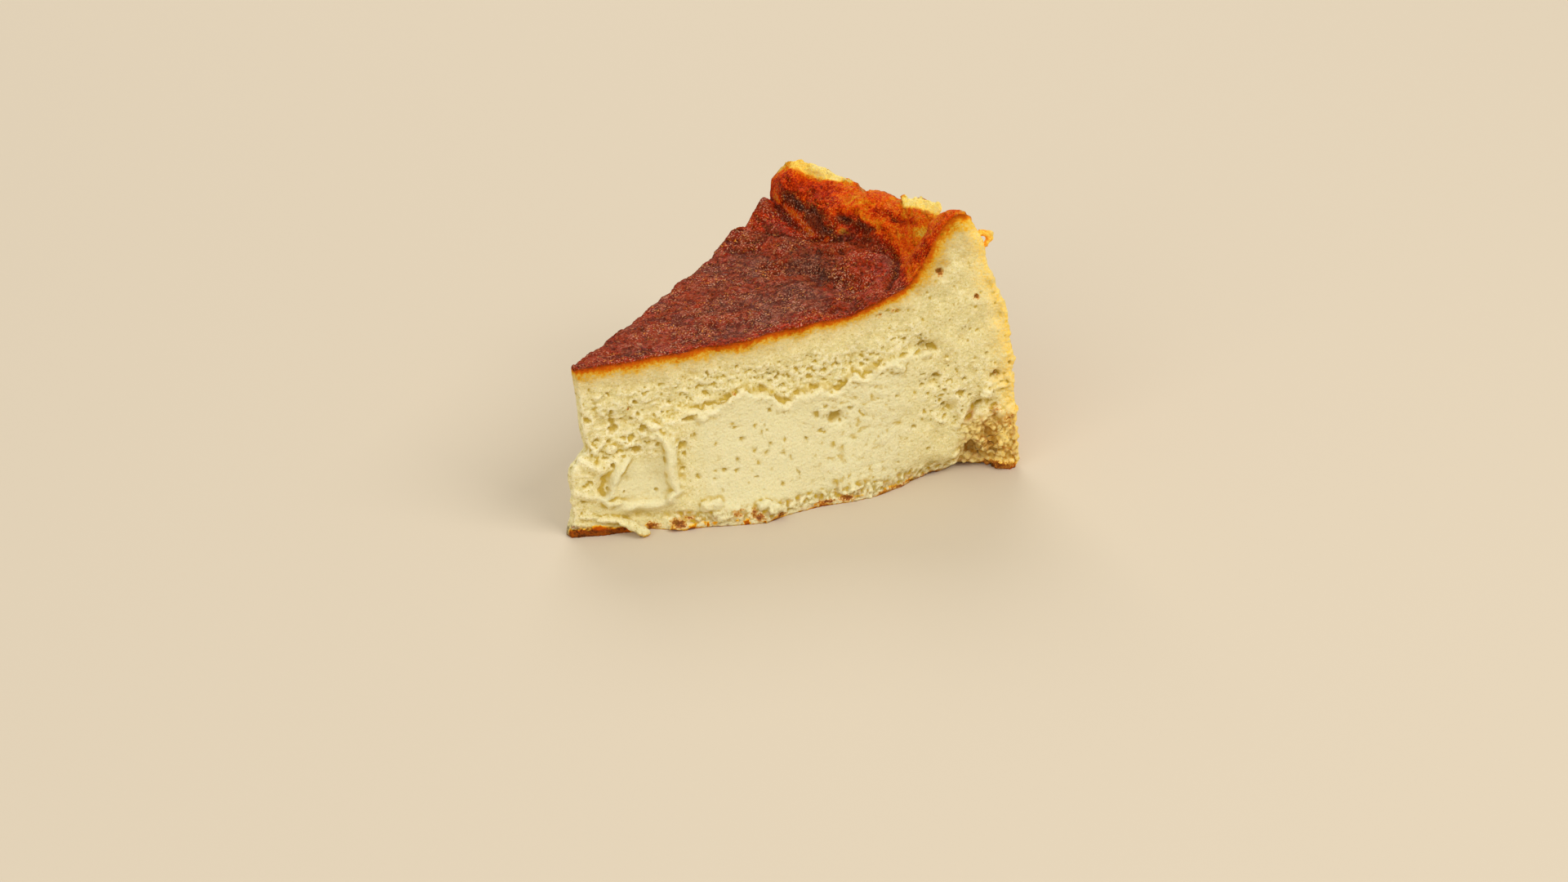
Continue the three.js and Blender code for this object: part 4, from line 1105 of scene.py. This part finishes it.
# the cut custard: smear, crumb, pores and curds, with a painted shade in the pores and a painted highlight on
# raised curds and beads, and then the wall
# where raised curds get a painted highlight
curdHighlightShare = product(remap(mask("open"), 0, 0.7, 0.3, 1), remap(cornerMask, 0, 1, 1, 0.15), bare)
farPore = product(mask("far"), remap(midNoise, 0.39, 0.32), remap(clusterNoise, 0.4, 0.62, 0.05, 1))
wallTone = blend(remap(bakedMask, 0.16, 0.4), tint["wallPale"], tint["wallTan"])
for layer in (
    ("smear", smearMask, notBaked, 0.35), ("cool", bare, toneMask, 0.35),
    ("pale", remap(midNoise, 0.52, 0.64, 0, 0.5), crumb),
    ("dark", remap(midNoise, 0.44, 0.34, 0, 0.25), crumb),
    # a painted highlight along the torn lip, and paler raised curds
    ("lip", mask("lip"), 0.4), ("curd", remap(hollowMask, 0.48, 0.25, 0, 0.55), curdHighlightShare),
    ("murk", footMask, remap(midNoise, 0.56, 0.44, 0.1, 0.75), notBaked),
    # the foot's raised beads laid paler, a painted highlight
    ("beadHighlight", footMask, remap(hollowMask, 0.46, 0.2, 0, 0.8), notBaked),
    # a painted shade in the far face's pores and in fine pits
    ("pitShade", farPore, 0.55), ("pitShade", remap(dotNoise, 0.38, 0.28, 0, 0.6), dotted),
    ("curd", remap(dotNoise, 0.62, 0.72, 0, 0.6), dotted), ("mustard", cornerMask, notBaked, 0.4),
    # browning, and a painted shade in crevices, hollows and splits
    ("toastAndShade", mask("toastedAndShaded"), remap(midNoise, 0.35, 0.65, 0.4, 0.95)), (wallTone, wallMask, 0.7),
):
    colour = laid(colour, *layer)

# the skin's band along the cut, the browned spots, the charred foot, and a painted shade in the pits and
# hollows
inBand = product(remap(bakedMask, 0.04, 0.15), remap(bakedMask, 0.32, 0.44, 1, 0), mask("band"), offCrust)
colour = blend(inBand, colour, tint["bandShade"], "MULTIPLY")
spotEdge = math("ADD", remap(grainNoise, 0.3, 0.7, -0.3, 0.3), remap(fineNoise, 0.3, 0.7, -0.35, 0.35))
spotted, inSpot = math("ADD", spotMask, spotEdge), remap(spotMask, 0.05, 0.2)
charred = blend(remap(grainNoise, 0.45, 0.62), tint["char"], tint["charPale"])
# a painted shade in the pressed pits and in the hollows of the relief
inPitShade = math("MAXIMUM", product(pitShadeMask, 0.8), remap(hollowMask, 0.58, 0.9, 0, 0.8))
for layer in (
    ("skin", remap(bakedMask, 0.28, 0.42, 0, 0.7), offCrust),
    ("gold", remap(spotted, 0.1, 0.35, 0, 0.7), inSpot),
    ("spot", remap(spotted, 0.38, 0.6, 0, 0.85), inSpot), ("char", remap(spotted, 0.75, 1, 0, 0.55), inSpot),
    (charred, mask("char"), remap(fineNoise, 0.35, 0.6, 0.55, 0.95)),
    ("pitShade", inPitShade, remap(cornerMask, 0, 1, 1, 0.3), remap(spotMask, 0.2, 0.5, 1, 0.15), onCut),
):
    colour = laid(colour, *layer)

# the crust: mauve patches that are partly a painted sheen, russet patches, scorched grain with a painted
# shade in its hollows, painted highlights on raised grains and painted glints, and then the underside
# paler specks by grain, strongest on the raised grains of the plate as a painted highlight
grainHighlight = product(remap(grainNoise, 0.5, 0.64, 0, 0.75), remap(hollowMask, 0.7, 0.3, 0.2, 1))
# scorched dark grains, and a painted shade in the crust's hollows
scorchAndShadeSpeck = math("MAXIMUM", remap(grainNoise, 0.45, 0.36, 0, 0.65), remap(hollowMask, 0.55, 0.8, 0, 0.6))
# painted glints: specks of highlight laid in colour
isGlint = product(remap(dotNoise, 0.57, 0.68, 0, 0.85), crustMask, remap(clusterNoise, 0.4, 0.6, 0.15, 1))
isOrange = product(math("MAXIMUM", rimMask, remap(midNoise, 0.5, 0.6)), remap(bakedMask, 0.84, 0.92, 1, 0))
for layer in (
    ("mauveSheen", plateMask, remap(toneMask, 0.5, 1, 0, 0.55)),
    ("russet", plateMask, remap(toneMask, 0.45, 0, 0, 0.6)),
    ("bloomHighlight", grainHighlight, plateMask, remap(bakedMask, 0.7, 0.8, 0.2, 1)),
    ("scorchAndShade", scorchAndShadeSpeck, crustMask, remap(bakedMask, 0.4, 0.65), remap(rimMask, 0, 1, 1, 0.35)),
    ("tan", remap(noiseAt(1000, 2), 0.63, 0.7, 0, 0.55), plateMask),
    ("ember", remap(dotNoise, 0.44, 0.32, 0, 0.65), remap(bakedMask, 0.36, 0.55), crustMask),
    (blend(isOrange, tint["glint"], tint["orangeGlint"]), isGlint, remap(rimMask, 0, 1, 1, 0.75)),
    ("under", mask("under"), 0.6),
):
    colour = laid(colour, *layer)

join(colour, shader.inputs["Base Color"])
# a painted glow on the torn scraps and the curl
join(blend(mask("glow"), (0, 0, 0, 1), tint["glow"]), shader.inputs["Emission Color"])
join(remap(crustMask, 0, 1, 0.5, 0.46), shader.inputs["Roughness"])
coat = product(plateMask, remap(grainNoise, 0.5, 0.64, 0.02, 0.16))
join(math("MAXIMUM", coat, remap(smearMask, 0, 1, 0.02, 0.1)), shader.inputs["Coat Weight"])
for name, value in look["surface"].items():
    shader.inputs[name].default_value = value
crustHeight = math("ADD", product(grainNoise, look["crustBump"]), product(dotNoise, look["dotBump"]))
crumbHeight = product(noiseAt(1700, 4), remap(smearMask, 0, 1, 1.9, 2.1))
crumbHeight = math("SUBTRACT", crumbHeight, product(farPore, look["poreBump"]))
bump = node("ShaderNodeBump", {
    "Height": math("ADD", product(crustHeight, crustMask), crumbHeight),
    "Distance": look["bumpDistance"], "Strength": look["bumpStrength"],
})
join(bump.outputs["Normal"], shader.inputs["Normal"])
piece.data.materials.clear()
piece.data.materials.append(material)

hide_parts("cheesecake_slice")
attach(piece, "root")

# The floor, the light and the camera
floorLook = dict(size=3, colour=(209, 194, 169), roughness=0.85)
bpy.ops.object.select_all(action="DESELECT")
bpy.ops.mesh.primitive_plane_add(size=floorLook["size"], location=(0, 0, 0))
floor = bpy.context.object
floor.name = "floor"
floorMaterial = bpy.data.materials.new("paleFloor")
floorMaterial.use_nodes = True
floorShader = floorMaterial.node_tree.nodes["Principled BSDF"]
floorShader.inputs["Base Color"].default_value = rgb(*floorLook["colour"])
floorShader.inputs["Roughness"].default_value = floorLook["roughness"]
floor.data.materials.append(floorMaterial)

lights = dict(
    world=(1, 0.99, 0.975), worldStrength=0.52, aim=(0, 0, 0.025),
    areas=[  # name, place, size, watts, colour
        ("key", (0.35, -0.95, 1.15), 0.9, 11.2, (1, 0.985, 0.96)),
        ("fill", (-1.15, -0.55, 0.8), 1.1, 7.2, (1, 0.99, 0.98)),
        ("over", (0.5, 0.85, 0.95), 0.8, 6.5, (1, 0.985, 0.96)),
    ],
)
world = bpy.data.worlds.new("studio")
world.use_nodes = True
background = world.node_tree.nodes["Background"]
background.inputs["Color"].default_value = (*lights["world"], 1)
background.inputs["Strength"].default_value = lights["worldStrength"]
bpy.context.scene.world = world
for name, place, size, watts, lightColour in lights["areas"]:
    bpy.ops.object.light_add(type="AREA", location=place)
    lamp = bpy.context.object
    lamp.name = name
    lamp.data.size, lamp.data.energy, lamp.data.color = size, watts, lightColour
    lamp.rotation_euler = (Vector(lights["aim"]) - Vector(place)).to_track_quat("-Z", "Y").to_euler()

view = dict(
    place=(-0.37662, -0.46929, 0.30964), toward=(0.56569, 0.69095, -0.4501),
    lens=69.375, sensor=36, clip=(0.01, 20),
)
bpy.ops.object.camera_add(location=view["place"])
camera = bpy.context.object
camera.rotation_euler = Vector(view["toward"]).to_track_quat("-Z", "Y").to_euler()
camera.data.lens, camera.data.sensor_width = view["lens"], view["sensor"]
camera.data.clip_start, camera.data.clip_end = view["clip"]
bpy.context.scene.camera = camera
bpy.context.scene.view_settings.view_transform = "Standard"
